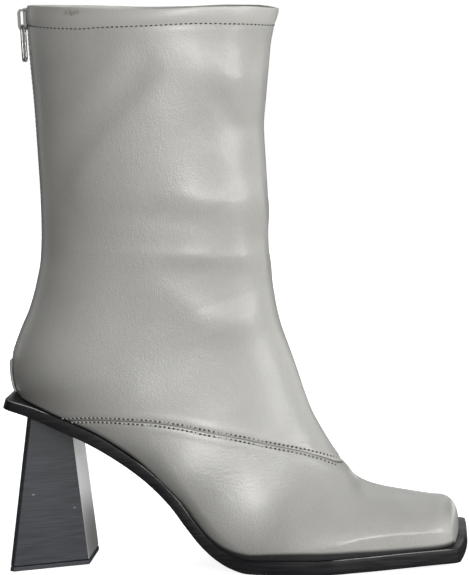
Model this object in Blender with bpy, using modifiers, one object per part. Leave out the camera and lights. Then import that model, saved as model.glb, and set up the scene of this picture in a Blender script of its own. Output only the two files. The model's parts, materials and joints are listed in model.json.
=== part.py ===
"""Heeled ankle boot for the right foot: square toe, flared block heel and a zip up the centre back.

Sizes are millimetres until a mesh is made. x runs forward from the rear edge of the heel's foot, y is
negative on the outer (lateral) side and positive on the inner (medial) side, z is the height above
the floor. The boot is then set down with its box centred on the origin in x and y.
"""
import math
from collections import namedtuple

import bmesh
import bpy

MM = 0.001                 # metres in a millimetre
GAP = 0.3                  # air between neighbouring pieces

# Driving sizes of the boot
SOLE_BACK = 0.9            # rear edge of the heel seat
SOLE_FRONT = 241.7         # front edge of the rand at the toe
TOE_TIP = 237.2            # front of the upper at the toe
TOE_BOX = 224.0            # where the upper starts to round over to its tip
TOE_CAP_STEPS = 5          # sections in that rounding
TOE_CAP_POWER = 3.0        # squareness of the rounding, seen from the side
TOE_CORNER_POWER = 8.0     # squareness of the toe, seen from above
TOE_CORNER_START = 180.0   # where the sides start to turn towards the toe
TOE_BEYOND = 0.6           # the plan curve closes this far ahead of the tip
TOE_SKEW = 0.03            # forward lean of the toe's front towards the big toe
TOE_BOW = 2.0              # how far the toe's corners lie behind its middle
TOE_BOW_HALF = 30.0        # half-width at which that is measured
TOE_WARP_START = 190.0     # the skew and bow grow from here to the tip
HEEL_CURVE_START = 36.0    # where the upper starts to close round the heel
HEEL_BACK = 6.0            # rear end of the upper's lower edge
HEEL_CURVE_POWER = 2.3
RAND = 0.8                 # sole edge that shows beside the upper
WALL = 2.0                 # leather and lining together
AROUND = 14                # wall steps on each side of a section
FULL_SHARE = 0.999         # a section starts at most this share of its widest half-width
ABOVE_SOLE = 1.0           # a section that starts higher than this over the sole is the shaft's
WELD = 0.01                # points closer than this become one
SOLE_CHAMFER = 0.6         # broken edges of the sole
SEAT_CORNER = 4.5          # corner radius of the sole behind the heel, in plan
TOE_CORNER = 3.0           # corner radius of the sole at the toe, in plan
CORNER_STEPS = 3
SOLE_ACROSS = 4            # steps across the sole
SOLE_SAMPLES = 120         # places at which the sole's top is worked out
SLOPE_STEP = 0.5           # half the length over which its slope is taken
SOLE_SMOOTH = math.radians(30)   # sole edges sharper than this stay crisp
INSOLE_THICK = 2.0
INSOLE_INSET = WALL + 0.6  # insole edge inside the upper's lower edge
INSOLE_TURN = 15           # degrees between the directions in which that is kept
LIFT_THICK = 2.4           # rubber lift under the heel
HEEL_FACET = 2.4           # narrow facet along each back corner of the heel
STRIP_HALF = 11.0          # leather strip over the heel's back
STRIP_THICK = 1.1
STRIP_STEPS = 6            # steps along the strip, and across it
STRIP_ACROSS = 8
SLIT_HALF = 3.0            # half the opening that the zip fills
CHAIN_HALF = 2.2           # half the row of teeth
CHAIN_DEPTH = 0.4          # how deep the teeth lie in the opening
CHAIN_THICK = 1.4
TAPE_HALF = 7.0
TAPE_THICK = 0.6
TAPE_CLEAR = 0.5           # tape to the wall in front of it
TAPE_TOP_MARGIN = 4.0
ZIP_STEPS = 24             # steps along tape and teeth, and across each
TAPE_ACROSS = 4
CHAIN_ACROSS = 2
SLIDER_TOP = 296.0
SLIDER_BOTTOM = 284.2
SLIDER_HALF = 4.0
SLIDER_PLATE = 1.6
SLIDER_ROUND = 0.35        # corner radius of the plate, as a share of its width
SLIDER_ROUND_STEPS = 3
SLIDER_CLEAR = 0.4         # plate to leather
BAIL_WIRE = 1.3            # thickness of the slider's bridge
BAIL_HALF = 1.1            # half its width
BAIL_WINDOW = 2.3          # room under the bridge for the pull's top bar
PULL_WIRE = 0.8            # radius of the pull's rounded bars
PULL_HALF = 3.7            # half-width between the bars
PULL_LENGTH = 18.2         # hinge to the middle of the lower bar
PULL_CORNER = 2.0
PULL_TURNS = (90, 45, 0)   # directions of the points on each rounded corner

# One row for each station of the sole, from the heel seat to the toe
SoleRow = namedtuple("SoleRow", "x underside thick lateral medial")
SOLE_ROWS = (
    SoleRow(SOLE_BACK, 88.1, 5.2, 25.0, 25.0),
    SoleRow(15.0, 83.3, 5.8, 26.2, 26.0),
    SoleRow(30.0, 76.5, 6.2, 27.3, 26.8),
    SoleRow(45.0, 69.2, 6.4, 27.6, 26.2),
    SoleRow(60.0, 59.9, 6.1, 27.4, 24.8),
    SoleRow(75.0, 48.4, 5.8, 27.8, 23.9),
    SoleRow(88.0, 35.0, 5.6, 29.0, 23.9),
    SoleRow(96.0, 24.0, 5.6, 30.6, 24.7),
    SoleRow(104.0, 13.9, 5.9, 32.6, 26.3),
    SoleRow(112.0, 6.9, 6.3, 34.8, 28.7),
    SoleRow(120.0, 2.5, 6.8, 36.8, 31.5),
    SoleRow(128.0, 0.3, 7.2, 38.6, 34.3),
    SoleRow(135.0, 0.0, 7.4, 39.8, 36.7),
    SoleRow(150.0, 0.0, 7.6, 41.7, 40.4),
    SoleRow(165.0, 0.0, 7.7, 42.4, 42.2),
    SoleRow(172.0, 0.2, 7.8, 42.5, 42.5),
    SoleRow(185.0, 0.9, 7.9, 41.5, 42.0),
    SoleRow(205.0, 1.7, 8.0, 38.7, 39.3),
    SoleRow(225.0, 2.4, 7.9, 35.3, 34.9),
    SoleRow(SOLE_FRONT, 3.0, 7.6, 32.4, 31.0),
)
SOLE_STEPS = 2             # stations made for each row of the sole

# One row for each section of the upper. A section is a slanting cut: it starts at the sole's edge, or
# at the back of the shaft, and ends on the ridge of the vamp or the front of the shaft. lateral and
# medial are its widest half-widths, level the place of that width along the cut, roundness its power.
UpperRow = namedtuple("UpperRow", "x z ridge_x ridge_z lateral medial level roundness slit")
ON_SOLE = None             # the height follows the sole
FOOT_ROWS = (
    UpperRow(TOE_BOX, ON_SOLE, TOE_BOX, 28.8, 34.4, 34.2, 0.46, 2.0, 0.0),
    UpperRow(208.0, ON_SOLE, 209.0, 31.4, 37.4, 37.9, 0.42, 2.0, 0.0),
    UpperRow(189.0, ON_SOLE, 191.5, 35.2, 40.4, 41.0, 0.34, 2.0, 0.0),
    UpperRow(172.0, ON_SOLE, 185.5, 39.1, 42.0, 42.0, 0.22, 1.95, 0.0),
    UpperRow(154.0, ON_SOLE, 180.5, 46.2, 41.8, 41.0, 0.14, 1.9, 0.0),
    UpperRow(137.0, ON_SOLE, 175.5, 53.5, 40.0, 38.2, 0.10, 1.85, 0.0),
    UpperRow(120.0, ON_SOLE, 170.5, 61.9, 37.6, 35.2, 0.09, 1.82, 0.0),
    UpperRow(106.0, ON_SOLE, 166.3, 69.8, 35.6, 33.8, 0.10, 1.82, 0.0),
    UpperRow(92.0, ON_SOLE, 162.6, 77.4, 34.0, 33.0, 0.12, 1.85, 0.0),
    UpperRow(78.0, ON_SOLE, 159.3, 87.0, 33.2, 32.6, 0.16, 1.9, 0.0),
    UpperRow(62.0, ON_SOLE, 156.0, 98.5, 32.6, 32.3, 0.21, 1.98, 0.0),
    UpperRow(45.0, ON_SOLE, 152.5, 110.0, 32.2, 32.0, 0.265, 2.08, 0.0),
    UpperRow(29.0, ON_SOLE, 149.6, 118.8, 32.0, 31.8, 0.315, 2.18, 0.0),
    UpperRow(16.0, ON_SOLE, 147.6, 125.4, 31.8, 31.6, 0.35, 2.28, 0.0),
    UpperRow(8.0, ON_SOLE, 146.5, 131.0, 31.6, 31.5, 0.37, 2.36, 0.0),
    UpperRow(HEEL_BACK, ON_SOLE, 145.6, 136.3, 31.4, 31.4, 0.38, 2.42, 0.0),
)
SHAFT_ROWS = (
    UpperRow(4.0, 98.0, 145.1, 140.5, 31.3, 31.3, 0.385, 2.42, 0.0),
    UpperRow(3.4, 104.5, 144.6, 144.5, 31.2, 31.2, 0.39, 2.4, 0.0),
    UpperRow(3.6, 110.5, 144.2, 148.3, 31.1, 31.1, 0.40, 2.35, 0.0),
    UpperRow(3.8, 112.0, 144.1, 149.4, 31.1, 31.1, 0.405, 2.34, SLIT_HALF),
    UpperRow(4.8, 116.0, 143.8, 152.5, 31.0, 31.0, 0.42, 2.3, SLIT_HALF),
    UpperRow(9.6, 127.5, 143.3, 160.0, 30.9, 30.9, 0.44, 2.2, SLIT_HALF),
    UpperRow(14.5, 137.5, 143.2, 166.5, 30.9, 30.9, 0.45, 2.15, SLIT_HALF),
    UpperRow(19.3, 151.5, 143.4, 175.5, 31.0, 31.0, 0.47, 2.15, SLIT_HALF),
    UpperRow(22.5, 165.5, 143.9, 185.0, 31.3, 31.3, 0.48, 2.1, SLIT_HALF),
    UpperRow(23.9, 183.0, 144.0, 197.5, 31.8, 31.8, 0.49, 2.1, SLIT_HALF),
    UpperRow(24.4, 202.0, 143.8, 212.0, 32.5, 32.5, 0.50, 2.1, SLIT_HALF),
    UpperRow(24.3, 222.0, 143.6, 227.5, 33.2, 33.2, 0.50, 2.1, SLIT_HALF),
    UpperRow(24.1, 243.0, 145.3, 243.5, 34.2, 34.2, 0.50, 2.1, SLIT_HALF),
    UpperRow(23.5, 262.0, 147.5, 259.0, 35.0, 35.0, 0.50, 2.1, SLIT_HALF),
    UpperRow(23.0, 278.0, 149.4, 272.5, 35.6, 35.6, 0.50, 2.1, SLIT_HALF),
    UpperRow(23.0, 288.0, 151.7, 281.5, 35.9, 35.9, 0.50, 2.1, SLIT_HALF),
    UpperRow(23.6, 297.2, 154.3, 291.2, 36.2, 36.2, 0.50, 2.1, SLIT_HALF),
)
UPPER_ROWS = FOOT_ROWS + SHAFT_ROWS
HEEL_ROW = len(FOOT_ROWS) - 1          # the section that starts at the heel's back, on the sole
STRIP_FROM = HEEL_ROW + 0.40           # the back strip's lower and upper edge, as section numbers
STRIP_TO = HEEL_ROW + 2.95
ZIP_FROM = HEEL_ROW + 4.1              # lower end of tape and teeth, as a section number
FOOT_STEPS = 2                         # sections made for each row below the heel's back

# The heel's foot on the floor and its head under the sole: rear edge, breast and half-widths
HeelRow = namedtuple("HeelRow", "back breast back_half breast_half")
HEEL_FOOT = HeelRow(0.0, 41.0, 27.6, 14.4)
HEEL_HEAD = HeelRow(13.3, 35.9, 20.8, 14.0)

BOX_CENTRE_X = (HEEL_FOOT.back + SOLE_FRONT) / 2

# Colour, roughness and metallic value of each material
LEATHER = ((0.40, 0.395, 0.37), 0.38, 0.0)
SOLE_BLACK = ((0.030, 0.030, 0.034), 0.42, 0.0)
HEEL_CHARCOAL = ((0.066, 0.070, 0.080), 0.5, 0.0)
LIFT_RUBBER = ((0.045, 0.046, 0.052), 0.6, 0.0)
SOCK_LINING = ((0.52, 0.49, 0.43), 0.7, 0.0)
TAPE_CLOTH = ((0.16, 0.16, 0.15), 0.85, 0.0)
ZIP_METAL = ((0.20, 0.20, 0.20), 0.32, 1.0)


def curve_slopes(xs, ys):
    """Slopes of a smooth curve through the points that never swings past them."""
    steps = [(ys[i + 1] - ys[i]) / (xs[i + 1] - xs[i]) for i in range(len(xs) - 1)]
    slopes = [steps[0]]
    for before, after in zip(steps, steps[1:]):
        slopes.append(2 * before * after / (before + after) if before * after > 0 else 0.0)
    slopes.append(steps[-1])
    return slopes


def curve_value(xs, ys, x):
    """Height at x of the smooth curve through the points."""
    x = min(max(x, xs[0]), xs[-1])
    i = max(k for k in range(len(xs) - 1) if xs[k] <= x)
    slopes = curve_slopes(xs, ys)
    width = xs[i + 1] - xs[i]
    t = (x - xs[i]) / width
    start = (1 + 2 * t) * (1 - t) ** 2 * ys[i] + t * (1 - t) ** 2 * width * slopes[i]
    end = t * t * (3 - 2 * t) * ys[i + 1] + t * t * (t - 1) * width * slopes[i + 1]
    return start + end


def sole_value(column, x):
    """One column of the sole's table at x."""
    return curve_value([row.x for row in SOLE_ROWS], [getattr(row, column) for row in SOLE_ROWS], x)


def sole_across(x):
    """The sole's underside and top points at a station, the thickness square to the slope."""
    z = sole_value("underside", x)
    behind = max(x - SLOPE_STEP, SOLE_BACK)
    ahead = min(x + SLOPE_STEP, SOLE_FRONT)
    slope = (sole_value("underside", ahead) - sole_value("underside", behind)) / (ahead - behind)
    length = math.hypot(slope, 1.0)
    thick = sole_value("thick", x)
    return (x, z), (x - slope / length * thick, z + thick / length)


SOLE_TOP = [sole_across(SOLE_BACK + (SOLE_FRONT - SOLE_BACK) * k / SOLE_SAMPLES)[1]
            for k in range(SOLE_SAMPLES + 1)]


def sole_top(x):
    """Height of the sole's top at x."""
    for (x0, z0), (x1, z1) in zip(SOLE_TOP, SOLE_TOP[1:]):
        if x <= x1:
            return z0 + (z1 - z0) * (x - x0) / (x1 - x0)
    return SOLE_TOP[-1][1]


def feather(x, side):
    """Half-width of the upper's lower edge at x, on the lateral or medial side."""
    half = sole_value(side, x) - RAND
    if x > TOE_CORNER_START:
        t = (x - TOE_CORNER_START) / (TOE_TIP + TOE_BEYOND - TOE_CORNER_START)
        half *= max(0.0, 1 - t ** TOE_CORNER_POWER) ** (1 / TOE_CORNER_POWER)
    if x < HEEL_CURVE_START:
        t = (HEEL_CURVE_START - x) / (HEEL_CURVE_START - HEEL_BACK)
        half *= max(0.0, 1 - t ** HEEL_CURVE_POWER) ** (1 / HEEL_CURVE_POWER)
    return half


def section(number):
    """The upper's section at a row number, which may lie between two rows."""
    numbers = list(range(len(UPPER_ROWS)))
    heights = [sole_top(row.x) + GAP if row.z is ON_SOLE else row.z for row in UPPER_ROWS]
    values = {"z": curve_value(numbers, heights, number)}
    for column in UpperRow._fields:
        if column != "z":
            values[column] = curve_value(numbers, [getattr(row, column) for row in UPPER_ROWS], number)
    if number <= HEEL_ROW:
        values["z"] = sole_top(values["x"]) + GAP
    return UpperRow(**values)


def toe_cap_section(angle):
    """A section of the rounding between the toe box and the tip; at 90 degrees it is flat."""
    box = UPPER_ROWS[0]
    power = 2 / TOE_CAP_POWER
    x = TOE_BOX + (TOE_TIP - TOE_BOX) * math.sin(angle) ** power
    z = sole_top(x) + GAP
    height = (box.ridge_z - sole_top(TOE_BOX) - GAP) * max(0.0, math.cos(angle)) ** power
    bulge = math.cos(angle)
    widest = {side: feather(x, side) + (getattr(box, side) - feather(TOE_BOX, side)) * bulge
              for side in ("lateral", "medial")}
    return box._replace(x=x, z=z, ridge_x=x, ridge_z=z + height, **widest)


def lower_half(cut, side):
    """Half-width where a section starts: the feather edge, or half the zip's opening."""
    return cut.slit if cut.z > sole_top(cut.x) + ABOVE_SOLE else feather(cut.x, side)


def side_points(cut, side):
    """Points of one side of a section, from its lower edge up to its ridge."""
    widest = getattr(cut, side)
    power = cut.roundness
    start_half = min(lower_half(cut, side), widest * FULL_SHARE)
    shape = (1 - (start_half / widest) ** power) ** (1 / power)
    below = cut.level / shape
    start_angle = math.acos(min(1.0, shape ** (power / 2)))
    sign = -1 if side == "lateral" else 1
    points = []
    for step in range(AROUND + 1):
        angle = start_angle + (math.pi - start_angle) * step / AROUND
        reach = abs(math.cos(angle)) ** (2 / power)
        along = cut.level - below * reach if angle < math.pi / 2 else cut.level + (1 - cut.level) * reach
        half = widest * max(0.0, math.sin(angle)) ** (2 / power)
        points.append((cut.x + (cut.ridge_x - cut.x) * along, sign * half,
                       cut.z + (cut.ridge_z - cut.z) * along))
    return points


def back_point(cut, y):
    """The point of a shaft section near its back at sideways place y."""
    widest = cut.lateral if y < 0 else cut.medial
    power = cut.roundness
    along = cut.level * (1 - (1 - (abs(y) / widest) ** power) ** (1 / power))
    return (cut.x + (cut.ridge_x - cut.x) * along, y, cut.z + (cut.ridge_z - cut.z) * along)


def set_down(point):
    """A point in the boot's own metres: the toe's lean and bow added, the box centred."""
    x, y, z = point
    t = min(max((x - TOE_WARP_START) / (TOE_TIP - TOE_WARP_START), 0.0), 1.0)
    ease = t * t * (3 - 2 * t)
    x += ease * (TOE_SKEW * y - TOE_BOW * (y / TOE_BOW_HALF) ** 2)
    return ((x - BOX_CENTRE_X) * MM, y * MM, z * MM)


def clear_scene():
    """Removes what the scene holds."""
    for item in list(bpy.data.objects):
        bpy.data.objects.remove(item, do_unlink=True)


def make_collection(name):
    """A new collection in the scene."""
    group = bpy.data.collections.new(name)
    bpy.context.scene.collection.children.link(group)
    return group


def make_material(name, look):
    """A Principled material from colour, roughness and metallic value."""
    colour, roughness, metallic = look
    material = bpy.data.materials.new(name)
    material.use_nodes = True
    shader = material.node_tree.nodes["Principled BSDF"]
    shader.inputs["Base Color"].default_value = (*colour, 1.0)
    shader.inputs["Roughness"].default_value = roughness
    shader.inputs["Metallic"].default_value = metallic
    material.diffuse_color = (*colour, 1.0)
    return material


def add_object(name, data, group, look):
    """A named object with its own material."""
    piece = bpy.data.objects.new(name, data)
    group.objects.link(piece)
    data.materials.append(make_material(name, look))
    return piece


def sheet_mesh(name, rows, lift=0.0, smooth=True):
    """An open surface through rows of points, moved along its normals by lift millimetres."""
    mesh = bpy.data.meshes.new(name)
    bm = bmesh.new()
    grid = [[bm.verts.new(set_down(point)) for point in row] for row in rows]
    for lower, upper in zip(grid, grid[1:]):
        for k in range(len(lower) - 1):
            bm.faces.new((lower[k], lower[k + 1], upper[k + 1], upper[k]))
    bmesh.ops.remove_doubles(bm, verts=bm.verts, dist=WELD * MM)
    bm.normal_update()
    for vert in bm.verts:
        vert.co += vert.normal * lift * MM
    for face in bm.faces:
        face.smooth = smooth
    bm.to_mesh(mesh)
    bm.free()
    return mesh


def thicken(piece, thick, offset):
    """Gives a sheet its thickness: offset -1 grows it inwards, 1 outwards."""
    wall = piece.modifiers.new("wall", "SOLIDIFY")
    wall.thickness = thick * MM
    wall.offset = offset
    wall.use_even_offset = True
    wall.use_rim = True


def loft_mesh(name, rings, smooth_angle=None):
    """A closed solid through rings of points, each with as many points as the others."""
    mesh = bpy.data.meshes.new(name)
    bm = bmesh.new()
    loops = [[bm.verts.new(set_down(point)) for point in ring] for ring in rings]
    count = len(loops[0])
    for lower, upper in zip(loops, loops[1:]):
        for k in range(count):
            after = (k + 1) % count
            bm.faces.new((lower[k], lower[after], upper[after], upper[k]))
    bm.faces.new(loops[0])
    bm.faces.new(loops[-1])
    bmesh.ops.recalc_face_normals(bm, faces=bm.faces)
    bm.to_mesh(mesh)
    bm.free()
    if smooth_angle is not None:
        mesh.shade_smooth()
        mesh.set_sharp_from_angle(angle=smooth_angle)
    return mesh


def corner_trim(distance, radius):
    """How much a rounded corner takes off the half-width at a distance from the end."""
    if distance >= radius:
        return 0.0
    return radius - math.sqrt(max(0.0, radius ** 2 - (radius - distance) ** 2))


def sole_stations():
    """Stations along the sole, closer together at its rounded corners."""
    stations = []
    for before, after in zip(SOLE_ROWS, SOLE_ROWS[1:]):
        for step in range(SOLE_STEPS):
            stations.append(before.x + (after.x - before.x) * step / SOLE_STEPS)
    stations.append(SOLE_FRONT)
    for k in range(1, CORNER_STEPS + 1):
        ease = 1 - math.cos(math.pi / 2 * k / CORNER_STEPS)
        stations.append(SOLE_BACK + SEAT_CORNER * ease)
        stations.append(SOLE_FRONT - TOE_CORNER * ease)
    return sorted(set(stations))


def spread(first, last, steps):
    """Evenly spaced values from first to last."""
    return [first + (last - first) * k / steps for k in range(steps + 1)]


def sole_ring(x):
    """The sole's cross-section at a station, its edges broken."""
    (x0, z0), (x1, z1) = sole_across(x)
    trim = corner_trim(x - SOLE_BACK, SEAT_CORNER) + corner_trim(SOLE_FRONT - x, TOE_CORNER)
    lateral = -(sole_value("lateral", x) - trim)
    medial = sole_value("medial", x) - trim
    share = SOLE_CHAMFER / math.hypot(x1 - x0, z1 - z0)
    places = [(share, lateral), (1 - share, lateral)]
    places += [(1.0, y) for y in spread(lateral + SOLE_CHAMFER, medial - SOLE_CHAMFER, SOLE_ACROSS)]
    places += [(1 - share, medial), (share, medial)]
    places += [(0.0, y) for y in spread(medial - SOLE_CHAMFER, lateral + SOLE_CHAMFER, SOLE_ACROSS)]
    return [(x0 + (x1 - x0) * part, y, z0 + (z1 - z0) * part) for part, y in places]


def build_outsole(group):
    """Outsole: heel seat, arch, forefoot with its flat spot, toe spring and rand."""
    rings = [sole_ring(x) for x in sole_stations()]
    add_object("outsole", loft_mesh("outsole", rings, SOLE_SMOOTH), group, SOLE_BLACK)


def heel_plan(row):
    """Plan of the heel at one level: the back corners cut by a narrow facet."""
    run = math.hypot(row.breast - row.back, row.back_half - row.breast_half)
    along_x = HEEL_FACET * (row.breast - row.back) / run
    along_y = HEEL_FACET * (row.back_half - row.breast_half) / run
    half = [(row.back, row.back_half - HEEL_FACET), (row.back + along_x, row.back_half - along_y),
            (row.breast, row.breast_half)]
    return [(x, -y) for x, y in half] + [(x, y) for x, y in reversed(half)]


def heel_at(share):
    """Plan sizes of the heel at a share of the way from its foot to its head."""
    return HeelRow(*(foot + (head - foot) * share for foot, head in zip(HEEL_FOOT, HEEL_HEAD)))


def build_heel(group):
    """Flared block heel up to the sole, and the rubber lift under it."""
    head_height = sole_value("underside", HEEL_HEAD.back)
    lift_share = LIFT_THICK / head_height
    floor = [(x, y, 0.0) for x, y in heel_plan(HEEL_FOOT)]
    lift_top = [(x, y, LIFT_THICK) for x, y in heel_plan(heel_at(lift_share))]
    block_foot = [(x, y, LIFT_THICK + GAP) for x, y in heel_plan(heel_at(lift_share))]
    head = [(x, y, sole_value("underside", x) - GAP) for x, y in heel_plan(HEEL_HEAD)]
    add_object("heel_top_lift", loft_mesh("heel_top_lift", [floor, lift_top]), group, LIFT_RUBBER)
    add_object("heel", loft_mesh("heel", [block_foot, head]), group, HEEL_CHARCOAL)


def insole_half(x, side):
    """Half-width of the insole at x: the upper's lower edge, moved inwards all round."""
    angles = [math.radians(turn) for turn in range(-90, 91, INSOLE_TURN)]
    return min(feather(x + INSOLE_INSET * math.sin(angle), side) - INSOLE_INSET * math.cos(angle)
               for angle in angles)


def insole_ring(x):
    """The insole's cross-section at x, resting on the sole inside the upper."""
    lateral = -insole_half(x, "lateral")
    medial = insole_half(x, "medial")
    low = sole_top(x) + GAP
    high = low + INSOLE_THICK
    return [(x, lateral, low), (x, medial, low), (x, medial, high), (x, lateral, high)]


def build_insole(group):
    """Insole: a thin sheet from the heel's back to the toe."""
    back = HEEL_BACK + INSOLE_INSET
    front = TOE_TIP - INSOLE_INSET
    stations = [x for x in sole_stations() if back + INSOLE_INSET < x < front]
    rings = [insole_ring(x) for x in [back + 0.5 * INSOLE_INSET] + stations + [front]]
    add_object("insole", loft_mesh("insole", rings), group, SOCK_LINING)


def upper_sections():
    """All sections of the upper, from the tip of the toe to the collar."""
    cuts = []
    for step in range(TOE_CAP_STEPS, 0, -1):
        cuts.append(toe_cap_section(math.pi / 2 * step / TOE_CAP_STEPS))
    for step in range(HEEL_ROW * FOOT_STEPS):
        cuts.append(section(step / FOOT_STEPS))
    for number in range(HEEL_ROW, len(UPPER_ROWS)):
        cuts.append(section(number))
    return cuts


def build_upper(group):
    """Upper: vamp, quarters and shaft as one wall, open below, at the collar and along the zip."""
    rows = []
    for cut in upper_sections():
        lateral = side_points(cut, "lateral")
        medial = side_points(cut, "medial")
        rows.append(lateral + medial[-2::-1])
    upper = add_object("upper", sheet_mesh("upper", rows), group, LEATHER)
    thicken(upper, WALL, -1)


def back_patch(first, last, half, steps, across, end_margin=0.0):
    """Rows of points on the upper's back between two section numbers."""
    rows = []
    for step in range(steps + 1):
        cut = section(first + (last - first) * step / steps)
        cut = cut._replace(z=min(cut.z, UPPER_ROWS[-1].z - end_margin))
        rows.append([back_point(cut, half * (1 - 2 * k / across)) for k in range(across + 1)])
    return rows


def build_back_strip(group):
    """Leather strip over the heel's back, up to the end of the zip."""
    rows = back_patch(STRIP_FROM, STRIP_TO, STRIP_HALF, STRIP_STEPS, STRIP_ACROSS)
    strip = add_object("back_strip", sheet_mesh("back_strip", rows, lift=GAP), group, LEATHER)
    thicken(strip, STRIP_THICK, 1)


def build_zip(group):
    """Zip tape inside the opening and the closed row of teeth in it."""
    last = len(UPPER_ROWS) - 1
    rows = back_patch(ZIP_FROM, last, TAPE_HALF, ZIP_STEPS, TAPE_ACROSS, TAPE_TOP_MARGIN)
    mesh = sheet_mesh("zip_tape", rows, lift=-(WALL + TAPE_CLEAR))
    tape = add_object("zip_tape", mesh, group, TAPE_CLOTH)
    thicken(tape, TAPE_THICK, -1)
    rows = back_patch(ZIP_FROM, last, CHAIN_HALF, ZIP_STEPS, CHAIN_ACROSS, TAPE_TOP_MARGIN)
    mesh = sheet_mesh("zip_chain", rows, lift=-CHAIN_DEPTH)
    chain = add_object("zip_chain", mesh, group, ZIP_METAL)
    thicken(chain, CHAIN_THICK, -1)


def slider_places():
    """x of the slider plate's inner and outer face, the hinge and the bail's outer face."""
    number = curve_value([row.z for row in SHAFT_ROWS], list(range(len(SHAFT_ROWS))), SLIDER_BOTTOM)
    inner = section(HEEL_ROW + 1 + number).x - SLIDER_CLEAR
    outer = inner - SLIDER_PLATE
    return inner, outer, outer - BAIL_WINDOW / 2, outer - BAIL_WINDOW - BAIL_WIRE


def bail_rings(outer, far):
    """Square cross-sections along the slider's bridge, from its lower to its upper leg."""
    low = SLIDER_BOTTOM + BAIL_WIRE / 2
    high = SLIDER_TOP - BAIL_WIRE
    root = outer + SLIDER_PLATE / 2
    bend = far + BAIL_WIRE
    bar = far + BAIL_WIRE / 2
    path = [((root, low), (0, 1)),
            ((bend, low), (0.3, 1)),
            ((bar, low + BAIL_WIRE), (1, 0.3)),
            ((bar, high - BAIL_WIRE), (1, -0.3)),
            ((bend, high), (0.3, -1)),
            ((root, high), (0, -1))]
    rings = []
    for (x, z), (side_x, side_z) in path:
        length = math.hypot(side_x, side_z)
        dx = side_x / length * BAIL_WIRE / 2
        dz = side_z / length * BAIL_WIRE / 2
        rings.append([(x - dx, -BAIL_HALF, z - dz), (x + dx, -BAIL_HALF, z + dz),
                      (x + dx, BAIL_HALF, z + dz), (x - dx, BAIL_HALF, z - dz)])
    return rings


def build_slider(group, helpers):
    """Zip slider: a rounded plate joined with the bridge that holds the pull."""
    inner, outer, _hinge, far = slider_places()
    middle = set_down(((inner + outer) / 2, 0.0, (SLIDER_TOP + SLIDER_BOTTOM) / 2))
    mesh = bpy.data.meshes.new("zip_slider")
    bm = bmesh.new()
    bmesh.ops.create_cube(bm, size=1.0)
    size = (SLIDER_PLATE * MM, 2 * SLIDER_HALF * MM, (SLIDER_TOP - SLIDER_BOTTOM) * MM)
    bmesh.ops.scale(bm, vec=size, verts=bm.verts)
    upright = [edge for edge in bm.edges if abs(edge.verts[0].co.x - edge.verts[1].co.x) > 0.5 * size[0]]
    bmesh.ops.bevel(bm, geom=upright, offset=SLIDER_ROUND * size[1], segments=SLIDER_ROUND_STEPS,
                     profile=0.5, affect="EDGES")
    bm.to_mesh(mesh)
    bm.free()
    slider = add_object("zip_slider", mesh, group, ZIP_METAL)
    slider.location = middle
    bridge = bpy.data.objects.new("slider_bridge", loft_mesh("slider_bridge", bail_rings(outer, far)))
    helpers.objects.link(bridge)
    bridge.hide_render = True
    bridge.display_type = "WIRE"
    join = slider.modifiers.new("bridge", "BOOLEAN")
    join.operation = "UNION"
    join.solver = "EXACT"
    join.object = bridge


def build_pull(group):
    """Pull: a slim rounded metal loop that hangs from the bridge, its origin on the hinge."""
    _inner, _outer, hinge, _far = slider_places()
    hinge_z = SLIDER_BOTTOM + BAIL_WIRE + GAP + PULL_WIRE
    side = PULL_HALF - PULL_CORNER
    top = -PULL_CORNER
    bottom = PULL_CORNER - PULL_LENGTH
    points = []
    for y, z, first in ((side, top, 0), (side, bottom, 270), (-side, bottom, 180), (-side, top, 90)):
        for turn in PULL_TURNS:
            angle = math.radians(first + turn)
            points.append((0.0, y + PULL_CORNER * math.cos(angle), z + PULL_CORNER * math.sin(angle)))
    data = bpy.data.curves.new("zip_pull", "CURVE")
    data.dimensions = "3D"
    data.bevel_depth = PULL_WIRE * MM
    data.bevel_resolution = 2
    line = data.splines.new("POLY")
    line.points.add(len(points) - 1)
    for place, (x, y, z) in zip(line.points, points):
        place.co = (x * MM, y * MM, z * MM, 1.0)
    line.use_cyclic_u = True
    pull = add_object("zip_pull", data, group, ZIP_METAL)
    pull.location = set_down((hinge, 0.0, hinge_z))


def main():
    """Makes the boot."""
    clear_scene()
    boot = make_collection("heeled_ankle_boot")
    helpers = make_collection("boot_helpers")
    build_outsole(boot)
    build_heel(boot)
    build_insole(boot)
    build_upper(boot)
    build_back_strip(boot)
    build_zip(boot)
    build_slider(boot, helpers)
    build_pull(boot)


main()
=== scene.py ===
"""Looks of a heeled ankle boot for the right foot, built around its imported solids.

Sizes in the tables are millimetres. x runs forward from the rear edge of the heel's foot, y is negative
on the outer (lateral) side, z is the height above the floor. place() turns such points into the frame's
own millimetres, with the box centred on the origin, and the meshes are metres.
"""

import json
import math
from collections import namedtuple
from functools import lru_cache

import bpy
import numpy as np
from mathutils import Matrix, Vector


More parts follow.
